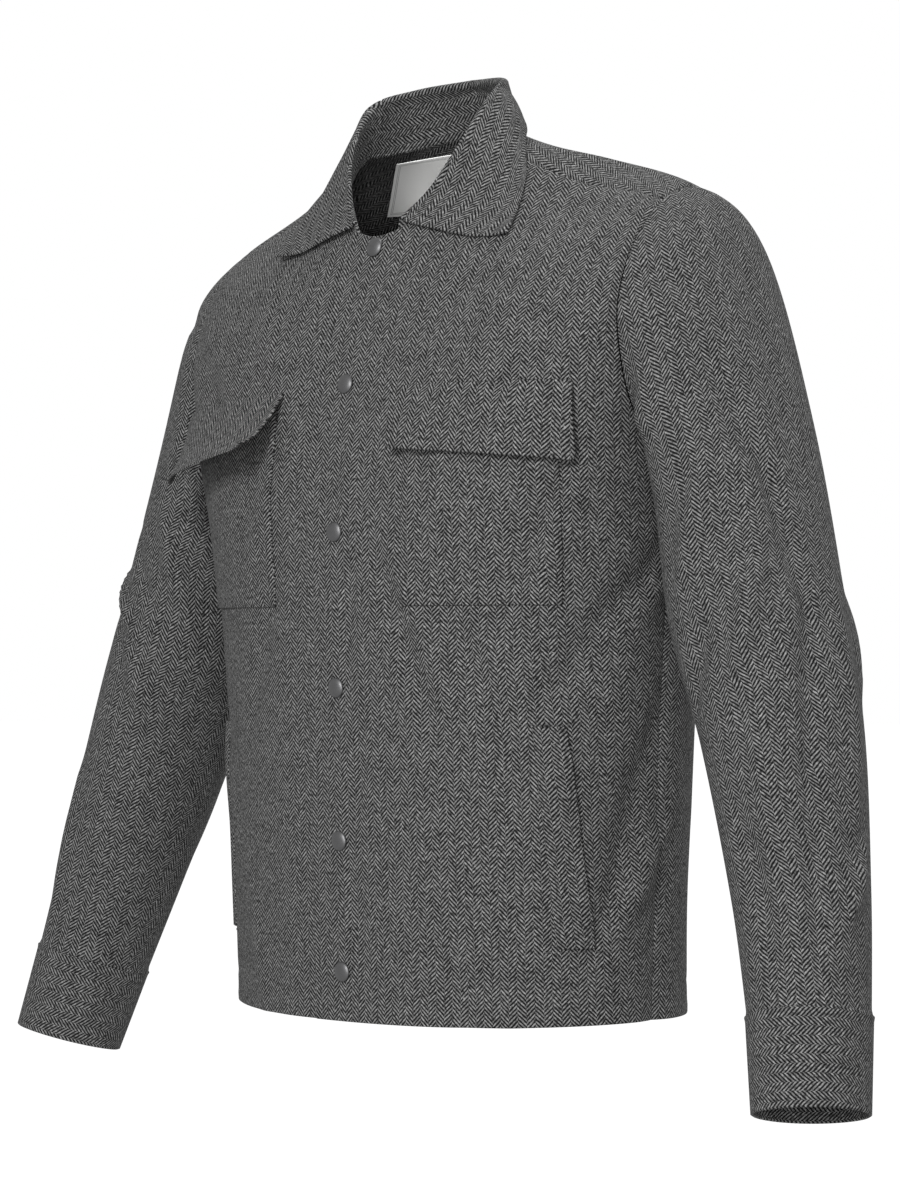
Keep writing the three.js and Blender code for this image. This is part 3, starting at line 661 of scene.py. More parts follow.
def ramp(tree, value, low=0.0, high=1.0, to_low=0.0, to_high=1.0, kind="LINEAR"):
    inputs = {"Value": value, "From Min": low, "From Max": high, "To Min": to_low, "To Max": to_high}
    return node(tree, "ShaderNodeMapRange", inputs, interpolation_type=kind).outputs[0]


def blend(tree, factor, first, second):
    """A mix of two colours, each three numbers or a socket."""
    pair = [x if isinstance(x, bpy.types.NodeSocket) else (*x, 1) for x in (first, second)]
    return node(tree, "ShaderNodeMix", {0: factor, 6: pair[0], 7: pair[1]}, data_type="RGBA").outputs[2]


def uneven(tree, uv, wave, scale, detail, roughness, weight):
    """The wave with a noise about zero added, by its weight."""
    away = maths(tree, "SUBTRACT", noise(tree, uv, scale, detail, roughness), 0.5)
    return maths(tree, "ADD", wave, maths(tree, "MULTIPLY", away, weight))


def finish(tree, shader, colour, height=None, strength=0.0, distance=0.0, **values):
    """Links the colour and the bump, and sets the shader's plain values by name."""
    tree.links.new(colour, shader.inputs["Base Color"])
    if height is not None:
        bump = node(tree, "ShaderNodeBump", {"Height": height, "Strength": strength, "Distance": distance})
        tree.links.new(bump.outputs[0], shader.inputs["Normal"])
    for name, value in values.items():
        shader.inputs[name.replace("_", " ")].default_value = value


def flannel():
    """Brushed herringbone: stripes of slanting twill lines that turn at each stripe's edge."""
    material, tree, shader = blank("flannel")
    uv, u, v = grain_of(tree)
    # The yarns wander a little
    u = uneven(tree, uv, u, *WANDER)
    turned = maths(tree, "PINGPONG", u, STRIPE)
    parity = maths(tree, "MODULO", maths(tree, "FLOOR", maths(tree, "DIVIDE", u, STRIPE)), 2.0)
    phase = maths(tree, "ADD", maths(tree, "DIVIDE", v, TWILL_ALONG), maths(tree, "DIVIDE", turned, TWILL_ACROSS))
    phase = maths(tree, "ADD", phase, maths(tree, "MULTIPLY", maths(tree, "ABSOLUTE", parity), 0.5))
    wave = maths(tree, "SINE", maths(tree, "MULTIPLY", phase, 2 * math.pi))
    # Yarn by yarn the light floats differ, and the nap blurs them
    stretched = node(tree, "ShaderNodeMapping", {0: uv, 3: YARN_STRETCH}).outputs[0]
    yarn = noise(tree, stretched, *YARN[:3])
    wave = maths(tree, "ADD", wave, maths(tree, "MULTIPLY", maths(tree, "SUBTRACT", yarn, 0.5), YARN[3]))
    wave = uneven(tree, uv, wave, *CLOUD)
    lines = ramp(tree, wave, *LINE_EDGES, kind="SMOOTHSTEP")
    colour = blend(tree, lines, DARK, LIGHT)
    # Some floats are paler than others
    paler = ramp(tree, noise(tree, uv, *SPECKLE), 0.3, 0.7, 0.25, 1.8)
    colour = node(tree, "ShaderNodeVectorMath", {0: colour, "Scale": paler}, operation="SCALE").outputs[0]
    # Pale fibres stand out here and there
    fleck = maths(tree, "MULTIPLY", ramp(tree, noise(tree, uv, *FLECKS[:3]), 0.69, 0.76), FLECKS[3])
    colour = blend(tree, fleck, colour, FLECK)
    height = maths(tree, "ADD", maths(tree, "MULTIPLY", lines, 0.6), maths(tree, "MULTIPLY", yarn, 0.5))
    finish(tree, shader, colour, height, strength=0.8, distance=0.0006, Specular_IOR_Level=NAP["specular"],
           Sheen_Weight=NAP["sheen"], Sheen_Roughness=NAP["sheenRoughness"], Sheen_Tint=NAP["sheenTint"])
    tree.links.new(ramp(tree, yarn, to_low=0.86, to_high=0.98), shader.inputs["Roughness"])
    return material


def label_cloth():
    """A bare woven label with a plain double border near its edge."""
    material, tree, shader = blank("label_cloth")
    _, u, v = grain_of(tree)
    inset = maths(tree, "MINIMUM", *(
        maths(tree, "SUBTRACT", size / 2, maths(tree, "ABSOLUTE", x)) for size, x in zip(LABEL_SIZE, (u, v))))
    border = maths(tree, "MAXIMUM", *(
        maths(tree, "COMPARE", inset, at, LABEL_BORDER["half"]) for at in LABEL_BORDER["at"]))
    weave = maths(tree, "ADD", *(
        maths(tree, "SINE", maths(tree, "MULTIPLY", x, 2 * math.pi / pitch)) for pitch, x in zip(LABEL_PITCH, (u, v))))
    grainy = ramp(tree, weave, -2.0, 2.0)
    colour = blend(tree, border, blend(tree, grainy, LABEL_DARK, LABEL_LIGHT), LABEL_LINE)
    finish(tree, shader, colour, grainy, strength=0.3, distance=0.0002, Roughness=0.7, Sheen_Weight=0.15)
    return material


def gunmetal():
    """Dark nickel, softly polished, with fine handling marks."""
    material, tree, shader = blank("snap_metal")
    marks = noise(tree, node(tree, "ShaderNodeTexCoord").outputs["Object"], *METAL_MARKS)
    colour = blend(tree, marks, METAL_DARK, METAL_LIGHT)
    finish(tree, shader, colour, marks, strength=0.06, distance=0.0002, Metallic=0.85)
    tree.links.new(ramp(tree, marks, to_low=0.4, to_high=0.52), shader.inputs["Roughness"])
    return material


def thread():
    """Charcoal sewing thread."""
    material, tree, shader = blank("thread")
    _, u, v = grain_of(tree)
    twist = maths(tree, "SINE", maths(tree, "MULTIPLY", maths(tree, "ADD", u, v), 2 * math.pi / THREAD_TWIST))
    colour = blend(tree, ramp(tree, twist, -1.0, 1.0), THREAD_DARK, THREAD_LIGHT)
    finish(tree, shader, colour, Roughness=0.8)
    return material


FLANNEL, LABEL_CLOTH, GUNMETAL, THREAD = flannel(), label_cloth(), gunmetal(), thread()


# Body panels

def piece(name, grid, thickness, u, v, material=FLANNEL, **options):
    """A shell that replaces the solid of its name."""
    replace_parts(shell(name, grid, thickness, u, v, material, **options), name)


def dip(distance):
    """How far cloth sinks beside a seam, by the distance to it."""
    return -SEAM_DIP["depth"] * bell(distance, SEAM_DIP["width"])


def edge_distances(grid):
    """Distances along the grid's lines from its first and last row and column."""
    up, across = run(grid, axis=0), run(grid, axis=1)
    return {"bottom": up, "top": up[-1:] - up, "first": across, "last": across[:, -1:] - across}


def rows_between(low, high, count):
    return mix(low, high, shares(count))


BELOW_ROWS = rows_between(0, ARMPIT_AT, STEPS["below"])
ARMHOLE_ROWS = rows_between(ARMPIT_AT, YOKE_TIP_AT, STEPS["armhole"])[1:]
SHOULDER_ROWS = rows_between(YOKE_TIP_AT, 1, STEPS["shoulder"])[1:]


def even_angles(angles, at, count):
    """Angles that give even steps of cloth along each row, from rows of fine angles."""
    fine = run(body_point(angles, at), axis=1)
    return np.array([np.interp(np.linspace(0, f[-1], count + 1), f, a) for a, f in zip(angles, fine)])


def front_places():
    """The angle and the place of each point of the left front's grid."""
    at = np.concatenate([BELOW_ROWS, ARMHOLE_ROWS, SHOULDER_ROWS])
    c = between(BODY, at)
    start = -np.arcsin((OVERLAP / c["half"]) ** (c["square"] / 2))
    end = np.where(at <= ARMPIT_AT, QUARTER, np.minimum(armhole_front(at), shoulder_seam(at)))
    fine = mix(start[:, None], end[:, None], shares(3 * STEPS["around"])[None, :])
    return even_angles(fine, at[:, None], STEPS["around"]), at


def outward(angle, at):
    """The body's outward normal, also at angles under 0."""
    n = body_normal(np.abs(angle), at)
    n[..., 0] *= np.where(angle < 0, -1, 1)
    return n


def body_relief(signed, side, angle, at):
    """The body's folds on one side, where signed is the girth from centre front towards the left."""
    point = body_point(angle, at)
    z = point[..., 2]
    around = girth(angle, at)
    relief = folds(BODY_FOLDS, signed, z) + folds(BACK_FOLDS, side * (girth(math.pi, at) - around), z)
    hollow = bell(around - girth(QUARTER, at), SIDE_HOLLOW["width"])
    relief -= SIDE_HOLLOW["depth"] * hollow * smooth(-z, SIDE_HOLLOW["above"], SIDE_HOLLOW["below"])
    still = smooth(ARMHOLE_X - np.abs(point[..., 0]), *FADE["armhole"])
    return relief * np.maximum(still, smooth(-z, *FADE["below"]))


def front_relief(signed, angle, at, side):
    """The folds of a front. Past the centre its angle is under 0."""
    return body_relief(signed, side, np.abs(angle), at) * smooth(1 - at, *FADE["neckline"])


def hem_roll(distance):
    """The turned-up hem swells above its fold and sinks at its stitching."""
    fold, stitching = bell(distance - HEM["fold"], HEM["foldWidth"]), bell(distance - HEM["stitch"], HEM["stitchWidth"])
    return HEM["height"] * (fold - stitching)


def build_fronts():
    angle, at = front_places()
    down = at[:, None]
    seam = (at <= ARMPIT_AT) | (at > YOKE_TIP_AT)
    for side, name in ((1, "front_left"), (-1, "front_right")):
        relief = front_relief(side * np.sign(angle) * girth(angle, down), angle, down, side)
        grid = body_point(angle, down) + relief[..., None] * outward(angle, down)
        if side < 0:
            ease = smooth(grid[..., 0], OVERLAP, OVERLAP + OVERLAP_EASE)
            grid[..., 1] += OVERLAP_DROP * (1 - ease)
        grid = trimmed(grid, last=seam)
        edges = edge_distances(grid)
        u, v = laid_grain(grid, UPRIGHT)
        offset = dip(edges["last"]) + hem_roll(edges["bottom"])
        if side < 0:
            grid, offset, u, v = mirrored(grid)[:, ::-1], offset[:, ::-1], u[:, ::-1], v[:, ::-1]
        else:
            offset = offset + FRONT_EDGE["height"] * bell(edges["first"], FRONT_EDGE["width"])
        piece(name, grid, CLOTH, u, v, offset=offset)


def build_back():
    """The back, from the wearer's left round to the right. Its rows end on the level yoke seam."""
    def top(angle):
        return crossing(lambda k: body_point(angle, k)[..., 2] > YOKE_BACK_Z, 0 * angle, 1 + 0 * angle)

    def folded(angle):
        return np.where(angle > math.pi, 2 * math.pi - angle, angle)

    def place(angle, at):
        return at / side_top * np.interp(folded(angle), fine_from, tops)

    side_top = float(top(np.array(QUARTER)))
    fine_from = np.linspace(QUARTER, math.pi, 400)
    tops = top(fine_from)
    rows = np.concatenate([BELOW_ROWS, rows_between(ARMPIT_AT, side_top, STEPS["armhole"])[1:]])
    down = rows[:, None]
    edge = crossing(lambda a: inside_armhole(a, place(a, rows)), QUARTER + 0 * rows, 0.9 * math.pi + 0 * rows)
    edge = np.where(rows <= ARMPIT_AT, QUARTER, edge)[:, None]
    fine = mix(edge, 2 * math.pi - edge, shares(6 * STEPS["around"])[None, :])
    angle = even_angles(fine, place(fine, down), 2 * STEPS["around"])
    at = place(angle, down)
    side = np.where(angle > math.pi, -1, 1)
    relief = body_relief(side * girth(folded(angle), at), side, folded(angle), at)
    grid = body_point(angle, at)
    relief *= smooth(-grid[..., 2], -YOKE_BACK_Z, FADE["yoke"] - YOKE_BACK_Z)
    grid = grid + relief[..., None] * body_normal(angle, at)
    below = rows <= ARMPIT_AT
    grid = trimmed(grid, first=below, last=below, top=np.ones(grid.shape[1], bool))
    edges = edge_distances(grid)
    u, v = laid_grain(grid, UPRIGHT, grid.shape[1] // 2)
    offset = dip(edges["first"]) + dip(edges["last"]) + dip(edges["top"]) + hem_roll(edges["bottom"])
    piece("back", grid, CLOTH, u, v, offset=offset)


def build_yoke():
    """The yoke, from one forward seam round the back to the other. Its rows run in to the neckline."""
    def angle_at(share, at):
        return mix(shoulder_seam(at), math.pi, share)

    def above_seam(share, at):
        angle = angle_at(share, at)
        return (angle < QUARTER) | (body_point(angle, at)[..., 2] > YOKE_BACK_Z)

    def armhole_at(share):
        inside = lambda k: inside_armhole(angle_at(share, k), k)
        return crossing(inside, SEARCH["armhole"] + 0 * share, 1 + 0 * share)

    def seam_at(share):
        return crossing(lambda k: above_seam(share, k), SEARCH["seam"] + 0 * share, 1 + 0 * share)

    # The share of the way round where the armhole meets the back seam
    corner = float(crossing(lambda share: seam_at(share) > armhole_at(share), 0.3, 0.9))
    side, back = STEPS["yokeSide"], STEPS["yokeBack"]
    places = np.concatenate([rows_between(0, corner, side), rows_between(corner, 1, back)[1:]])
    start = np.where(places <= corner, armhole_at(places), seam_at(places))
    at = mix(start[None, :], 1, shares(2 * STEPS["shoulder"])[:, None])
    half = body_point(angle_at(places[None, :], at), at)
    grid = np.concatenate([half, mirrored(half[:, -2::-1])], axis=1)
    columns = grid.shape[1]
    across = (np.arange(columns) > side) & (np.arange(columns) < columns - 1 - side)
    ends = np.ones(grid.shape[0], bool)
    grid = trimmed(grid, first=ends, last=ends, bottom=across)
    edges = edge_distances(grid)
    # The grain runs across the shoulders
    u, v = laid_grain(grid, ACROSS, columns // 2)
    piece("yoke", grid, CLOTH, u, v, offset=dip(edges["first"]) + dip(edges["last"]) + dip(edges["bottom"]))


# Sleeves and cuffs

def armhole_loop(count):
    """The left armhole's outline in its plane: front branch up, then back branch down."""
    at = np.linspace(ARMPIT_AT + 1e-3, SEARCH["end"], 240)
    at = at[~inside_armhole(QUARTER, at)]
    front, back = body_point(armhole_front(at), at), body_point(armhole_back(at), at)
    pit, top = body_point(QUARTER, ARMPIT_AT), body_point(QUARTER, TIP_AT)
    half = shares(count // 2)
    up = evenly(np.concatenate([pit[None], front, top[None]]), half)
    down = evenly(np.concatenate([top[None], back[::-1], pit[None]]), half)
    return np.concatenate([up, down[1:-1]])


def sleeve_ring(section, u, v):
    """One ring of a sleeve on its section's four lines, from the armhole's outline u, v to an oval."""
    top = np.array([section["topX"], 0, section["topZ"]], float)
    under = np.array([section["underX"], 0, section["underZ"]], float)
    centre = (top + under) / 2
    centre[1] = (section["frontY"] + section["backY"]) / 2
    rise = (top - under) / 2
    depth = (section["backY"] - section["frontY"]) / 2
    angle = np.arctan2(v, u)
    exponent = 2 / section["square"]
    up = mix(u, power(np.cos(angle), exponent), section["blend"])
    back = depth * mix(v, power(np.sin(angle), exponent), section["blend"])
    points = centre + up[:, None] * rise
    points[:, 1] += back + section["skew"] * (1 + up) / 2
    points[:, 2] -= section["pitch"] * back
    return points


def sleeve_relief(side, rows, at, turn):
    """The folds of a sleeve, measured round it and along it."""
    radius = np.linalg.norm(rows - rows.mean(axis=1, keepdims=True), axis=-1).mean(axis=1)
    length = run(rows.mean(axis=1))
    relief = np.zeros(rows.shape[:2])
    for turn0, at0, turn1, at1, width, height in zip(*SLEEVE_FOLDS[side].values()):
        start, end = np.interp([at0, at1], at, length)
        around = np.interp((start + end) / 2, length, radius)
        line = (math.radians(turn0) * around, start, math.radians(turn1) * around, end, width, height)
        one = {name: [value] for name, value in zip(SLEEVE_FOLDS[side], line)}
        for shift in (-360, 0, 360):
            relief += folds(one, np.radians(turn[None, :] + shift) * around, length[:, None])
    return relief * smooth(at, 0, SLEEVE_FADE["armhole"])[:, None] * smooth(1 - at, 0, SLEEVE_FADE["cuff"])[:, None]


def pucker(turn, distance):
    """Small gathers that run out of the cuff seam."""
    wave = sum(weight * np.sin(np.radians(turn) * turns + phase) for turns, phase, weight in PUCKER["waves"])
    along = np.exp(-distance / PUCKER["length"]) * (1 - np.exp(-distance / PUCKER["start"]))
    return PUCKER["height"] * wave[None, :] * along


def build_sleeves():
    first, end = ({name: x[k] for name, x in SLEEVE.items()} for k in (0, -1))
    loop = armhole_loop(STEPS["ring"])
    u = (2 * loop[:, 2] - first["topZ"] - first["underZ"]) / (first["topZ"] - first["underZ"])
    v = (2 * loop[:, 1] - first["frontY"] - first["backY"]) / (first["backY"] - first["frontY"])
    turn = np.degrees(np.arctan2(v, u))
    at = shares(STEPS["sleeve"])
    sections = between(SLEEVE, at)
    rows = np.array([sleeve_ring({k: x[i] for k, x in sections.items()}, u, v) for i in range(len(at))])
    rows[0, :, 0] = ARMHOLE_X + SEAM_GAP / 2
    forward = (CUFF_END["frontY"] + CUFF_END["backY"] - end["frontY"] - end["backY"]) / 2
    reach = unit(np.array([CUFF_END["topX"] - end["topX"], forward, CUFF_END["topZ"] - end["topZ"]]))
    wrist = rows[-1] + SEAM_GAP * reach
    proud = wrist + CUFF_STEP * unit(wrist - wrist.mean(axis=0))
    cuff = mix(proud[None], sleeve_ring(CUFF_END, u, v)[None], shares(STEPS["cuff"])[:, None, None])
    cuff_down = run(cuff, axis=0)
    wave = np.sin(np.radians(turn) * CUFF_WAVE["turns"] + CUFF_WAVE["phase"])[None, :]
    cuff_offset = CUFF_WAVE["height"] * wave * cuff_down / CUFF_WAVE["length"]
    cuff_offset = cuff_offset - CUFF_SEAM["depth"] * bell(cuff_down, CUFF_SEAM["width"])
    # Grain is summed from the front line, and runs round a cuff
    front_line = STEPS["ring"] // 4
    cuff_v, cuff_u = laid_grain(cuff, reach, front_line, True)
    out = normals_of(rows[::-1, ::-1], True)[::-1, ::-1]
    for side in ("left", "right"):
        grid = rows + sleeve_relief(side, rows, at, turn)[..., None] * out
        distance = run(grid, axis=0)
        to_cuff = distance[-1:] - distance
        # The head stands up a little at the armhole, and the cloth gathers behind the cuff seam
        offset = dip(to_cuff) + SLEEVE_HEAD["height"] * bell(distance, SLEEVE_HEAD["width"]) + pucker(turn, to_cuff)
        # The grain follows the arm
        arm = unit(np.gradient(grid.mean(axis=1), axis=0))
        arm = arm[np.maximum(np.arange(len(arm)), round(GRAIN_FROM * STEPS["sleeve"]))][:, None]
        grain_u, grain_v = laid_grain(grid, arm, front_line, True)
        flip = side == "right"

        def placed(x):
            """Rows up the arm, with the cloth facing out."""
            return x[::-1] if flip else x[::-1, ::-1]

        def facing(way):
            return mirrored(way) if flip else way

        for name, rings, offsets, gu, gv, thick, top_way in (
            ("sleeve_" + side, grid, offset, grain_u, grain_v, CLOTH, ACROSS),
            ("cuff_" + side, cuff, cuff_offset, cuff_u, cuff_v, DOUBLED, reach),
        ):
            squares = ((0, facing(reach)), (-1, facing(top_way)))
            piece(name, facing(placed(rings)), thick, placed(gu), placed(gv), closed=True,
                  offset=placed(offsets), squares=squares)


# Collar

def clear_of_body(points, distance):
    """Points moved out along the shoulders' nearest normals, to keep a distance from them."""
    at, angle = np.linspace(SEARCH["seam"], 1, 70)[:, None], np.linspace(0, 2 * math.pi, 260)[None, :]
    places, normals = (form(angle, at).reshape(-1, 3) for form in (body_point, body_normal))
    out = []
    for p in points.reshape(-1, 3):
        k = np.argmin(((places - p) ** 2).sum(axis=1))
        out.append(p + normals[k] * max(distance - (p - places[k]) @ normals[k], 0))
    return np.array(out).reshape(points.shape)


def build_collar():
    degrees = rows_between(COLLAR["angle"][0], 180, STEPS["collar"] // 2)
    c = between(COLLAR, degrees)
    fold, middle, edge = (np.stack([c[k + a] for a in "XYZ"], -1) for k in ("fold", "mid", "edge"))
    neckline = body_point(np.radians(degrees), 1.0)
    out = middle - neckline
    out[:, 2] = 0
    out = unit(out)
    heart = fold - FOLD_RADIUS * UPRIGHT
    arc = [heart + FOLD_RADIUS * (math.cos(a) * out + math.sin(a) * UPRIGHT)
           for a in np.linspace(math.pi, 0, STEPS["fold"] + 1)]
    foot = neckline + STAND_SEAM * UPRIGHT
    stand = [mix(foot, arc[0], k) for k in shares(STEPS["stand"])[:-1]]
    # The fall is a quadratic through its middle and edge
    start, share = arc[-1], FALL_MIDDLE
    control = (middle - (1 - share) ** 2 * start - share**2 * edge) / (2 * share * (1 - share))
    fall = [(1 - k) ** 2 * start + 2 * k * (1 - k) * control + k**2 * edge for k in shares(STEPS["fall"])[1:]]
    fall = clear_of_body(np.stack(fall), CLOTH / 2 + LAID_GAP + DOUBLED / 2 + COLLAR_SLACK)
    strips = np.concatenate([np.stack(stand), np.stack(arc), fall]).swapaxes(0, 1)
    grid = np.concatenate([strips, mirrored(strips[-2::-1])])
    edges = edge_distances(grid)
    # The fall is not quite even along its edge, and its far leaf stands off the shoulder
    along = edges["bottom"][:, -1:]
    reach = np.clip(edges["first"] / edges["first"][:, -1:], 0, 1)
    wave = sum(height * np.sin(along / length + phase) for height, length, phase in COLLAR_WAVES)
    offset = wave * smooth(reach, COLLAR_WAVE_FROM, 1.0)
    offset = offset + COLLAR_EDGE["height"] * bell(edges["last"] - COLLAR_EDGE["at"], COLLAR_EDGE["width"])
    leaf = bell(shares(len(grid) - 1) - LEAF["at"], LEAF["spread"])
    offset = offset + LEAF["lift"] * leaf[:, None] * smooth(reach, LEAF_FROM, 1.0)
    v = edges["bottom"].mean(axis=1)[:, None] + 0 * reach
    piece("collar", grid, DOUBLED, edges["first"], v, offset=offset)


# Patches and trim

def front_place(x, z):
    """The angle and place on the body where the front reaches a distance from centre and a height."""
    x, z = np.broadcast_arrays(np.asarray(x, float), np.asarray(z, float))

    def angle_at(at):
        return crossing(lambda a: body_point(a, at)[..., 0] > x, 0 * x, QUARTER + 0 * x)

    at = crossing(lambda k: body_point(angle_at(k), k)[..., 2] > z, 0 * x, 1 + 0 * x)
    return angle_at(at), at


def patch_grid(patch, columns, side):
    """A patch between its two slanting sides, on the front with its folds."""
    k, across = shares(STEPS["patchUp"])[:, None], shares(columns)[None, :]
    z = mix(patch["bottom"] + patch.get("rise", 0) * (1 - across), patch["top"], k)
    inner = mix(patch["bottomInner"], patch["topInner"], k)
    outer = mix(patch["bottomOuter"], patch["topOuter"], k)
    angle, at = front_place(mix(inner, outer, across), z)
    relief = front_relief(side * girth(angle, at), angle, at, side)
    return body_point(angle, at) + relief[..., None] * body_normal(angle, at)


def laid(name, side, grid, edges, thickness, offset, **options):
    """A patch's shell, mirrored for the wearer's right."""
    u, v = edges["first"], edges["bottom"]
    if side == "right":
        grid, offset, u, v = mirrored(grid)[:, ::-1], offset[:, ::-1], u[:, ::-1], v[:, ::-1]
    piece(f"{name}_{side}", grid, thickness, u, v, offset=offset, **options)


def build_pocket(side, sign):
    up, across = shares(STEPS["patchUp"])[:, None], shares(STEPS["patchAcross"])[None, :]
    grid = patch_grid(POCKET, STEPS["patchAcross"], sign)
    edges = edge_distances(grid)
    near = np.minimum(np.minimum(edges["first"], edges["last"]), edges["bottom"])
    rim = POCKET_EDGE["ridge"] * bell(near - POCKET_EDGE["ridgeAt"], POCKET_EDGE["ridgeWidth"])
    rim = rim - POCKET_EDGE["depth"] * bell(near, POCKET_EDGE["width"])
    fullness = np.sin(math.pi * np.clip(up * POCKET_BULGE["fullness"], 0, 1))
    bulge = POCKET_BULGE["height"] * np.sin(math.pi * across) * fullness
    laid("pocket", side, grid, edges, CLOTH, LAID + CLOTH / 2 + rim + bulge)


def build_flap(side, sign):
    """A flap, sewn down along its top and hanging free over the pocket."""
    down, across = 1 - shares(STEPS["patchUp"])[:, None], shares(STEPS["patchAcross"])[None, :]
    grid = patch_grid(FLAP, STEPS["patchAcross"], sign)
    seat = LAID + DOUBLED / 2
    rest = mix(seat, seat + CLOTH + LAID_GAP, smooth(down, 0, FLAP_SEAM))
    flare = mix(*FLARE[side], across) * down**FLARE_CURVE
    wave = FLAP_WAVE["height"] * FLAP_WAVE["share"][side] * down ** FLAP_WAVE["power"]
    wave = wave * np.sin(across * 2 * math.pi * FLAP_WAVE["turns"] + FLAP_WAVE["phase"])
    corner = (1 - across) ** FLAP_CURL["acrossPower"] * down ** FLAP_CURL["downPower"]
    offset = rest + flare + wave + FLAP_CURL[side] * corner
    laid("flap", side, grid, edge_distances(grid), DOUBLED, offset, rim=0.42)


def build_welt(side, sign):
    grid = patch_grid(WELT, STEPS["weltAcross"], sign)
    edges = edge_distances(grid)
    ends = smooth(np.minimum(edges["top"], edges["bottom"]), WELT_LIFT["from"], WELT_LIFT["to"])
    lift = WELT_LIFT[side] * shares(STEPS["weltAcross"])[None, :] ** 2 * ends
    seam = -WELT_SEAM["depth"] * bell(edges["first"], WELT_SEAM["width"])
    laid("welt", side, grid, edges, DOUBLED, LAID + DOUBLED / 2 + lift + seam)


def stitches(start, end, z, sign):
    """A row of tack stitches on the front at a height, each a small flattened bead."""
    count = round((end - start) / TACK_PITCH)
    angle, at = front_place(mix(start, end, (np.arange(count) + 0.5) / count), z)
    relief = front_relief(sign * girth(angle, at), angle, at, sign)
    normal = body_normal(angle, at)
    centre = body_point(angle, at) + (relief + STITCH["above"])[:, None] * normal
    ahead = unit(np.gradient(centre, axis=0))
    aside = unit(np.cross(normal, ahead))
    t = np.linspace(0, 2 * math.pi, STEPS["stitchRound"], endpoint=False)
    s = np.linspace(-1, 1, STEPS["stitchLong"])
    swell = np.sqrt(np.clip(1 - (STITCH["blunt"] * s) ** 2, STITCH["end"], 1))[:, None] * STITCH["wide"] / 2
    parts = ((s[:, None] + 0 * t) * STITCH["long"] / 2, swell * np.cos(t), swell * np.sin(t))
    rings = centre[:, None, None] + sum(
        part[None, ..., None] * way[:, None, None] for part, way in zip(parts, (ahead, aside, normal)))
    ids = np.arange(rings[..., 0].size).reshape(rings.shape[:3])
    following = np.roll(ids, -1, axis=2)
    faces = [np.stack([ids[:, :-1], following[:, :-1], following[:, 1:], ids[:, 1:]], -1).reshape(-1, 4)]
    for cap in (ids[:, 0, ::-1], ids[:, -1]):
        faces += [cap[:, [0, m, m + 1, m + 2]] for m in range(1, STEPS["stitchRound"] - 2, 2)]
    points, faces = rings.reshape(-1, 3), np.concatenate(faces)
    return (worn(mirrored(points)), faces[:, ::-1]) if sign < 0 else (worn(points), faces)


def build_tacks(side, sign):
    """Tack stitches across both ends of a hand-pocket welt."""
    base, points, faces = 0, [], []
    for end in ("top", "bottom"):
        inner, outer, above = TACK[end]
        p, f = stitches(WELT[end + "Inner"] - inner, WELT[end + "Outer"] + outer, WELT[end] + above, sign)
        points.append(p)
        faces.append(f + base)
        base += len(p)
    points, faces = np.concatenate(points), np.concatenate(faces)
    uvs = np.tile(np.array([[0, 0], [1, 0], [1, 1], [0, 1.0]]), (len(faces), 1))
    new_object("welt_tacks_" + side, points, faces, uvs, THREAD)


def build_snaps():
    """Smooth domed caps whose edge rolls under."""
    r, h, lip = SNAP["radius"], SNAP["height"], SNAP["lip"]
    profile = [(r - inset, height) for inset, height in SNAP_LIP]
    for a in QUARTER * shares(STEPS["snapDome"])[:-1]:
        profile.append((r * math.cos(a) ** SNAP_ROUND[0], lip + (h - lip) * math.sin(a) ** SNAP_ROUND[1]))
    profile = np.array(profile)[:, :, None, None]
    t = np.linspace(0, 2 * math.pi, STEPS["snap"], endpoint=False)[:, None]
    for k, z in enumerate(SNAP["heights"], start=1):
        angle, at = front_place(SNAP["across"], z)
        normal = body_normal(angle, at)
        out = unit(np.array([0, normal[1], normal[2]]))
        relief = float(front_relief(SNAP["across"], angle, at, 1))
        seat = body_point(angle, at) * (1 - ACROSS) + SNAP["across"] * ACROSS
        seat = seat + (CLOTH / 2 + LAID_GAP + relief - SNAP_SINK) * out
        up = np.cross(out, ACROSS)
        rings = seat + profile[:, 1] * out + profile[:, 0] * (np.cos(t) * ACROSS - np.sin(t) * up)
        points = np.concatenate([rings.reshape(-1, 3), seat[None], (seat + h * out)[None]])
        ids = np.arange(len(points) - 2).reshape(-1, STEPS["snap"])
        following = np.roll(ids, -1, axis=1)
        faces = [np.stack([ids[:-1], following[:-1], following[1:], ids[1:]], -1).reshape(-1, 4)]
        # Both centres are closed by quads over two segments
        for row, centre, turn in ((ids[0], len(points) - 2, -1), (ids[-1], len(points) - 1, 1)):
            fan = [row[::2], row[1::2], np.roll(row, -2)[::2]][::turn]
            faces.append(np.stack([0 * fan[0] + centre, *fan], -1))
        faces = np.concatenate(faces)
        obj = new_object("snap_cap_%d" % k, points, faces, np.zeros((faces.size, 2)), GUNMETAL)
        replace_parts(obj, "snap_%d" % k)


def build_label():
    """The label, inside the back of the neck on the yoke."""
    up, across = shares(STEPS["labelUp"]), shares(STEPS["labelAcross"])[None, :]
    at = mix(LABEL["bottom"], LABEL["top"], up)
    centre = math.radians(LABEL["angle"])
    middle = body_point(centre, at)
    spread = LABEL["width"] / 2 / np.hypot(middle[:, 0], middle[:, 1] - between(BODY, at)["sideY"])
    grid = body_point(centre + spread[:, None] * (2 * across - 1), at[:, None])
    # Its grain is even from edge to edge, so that the border keeps its distance from them
    u = LABEL_SIZE[0] / MM * (across - 0.5) + 0 * at[:, None]
    v = LABEL_SIZE[1] / MM * (up[:, None] - 0.5) + 0 * u
    inward = LAID + LABEL["thick"] / 2 + LABEL["slack"]
    piece("label", grid, LABEL["thick"], u, v, LABEL_CLOTH, slot="label_cloth", offset=-inward)


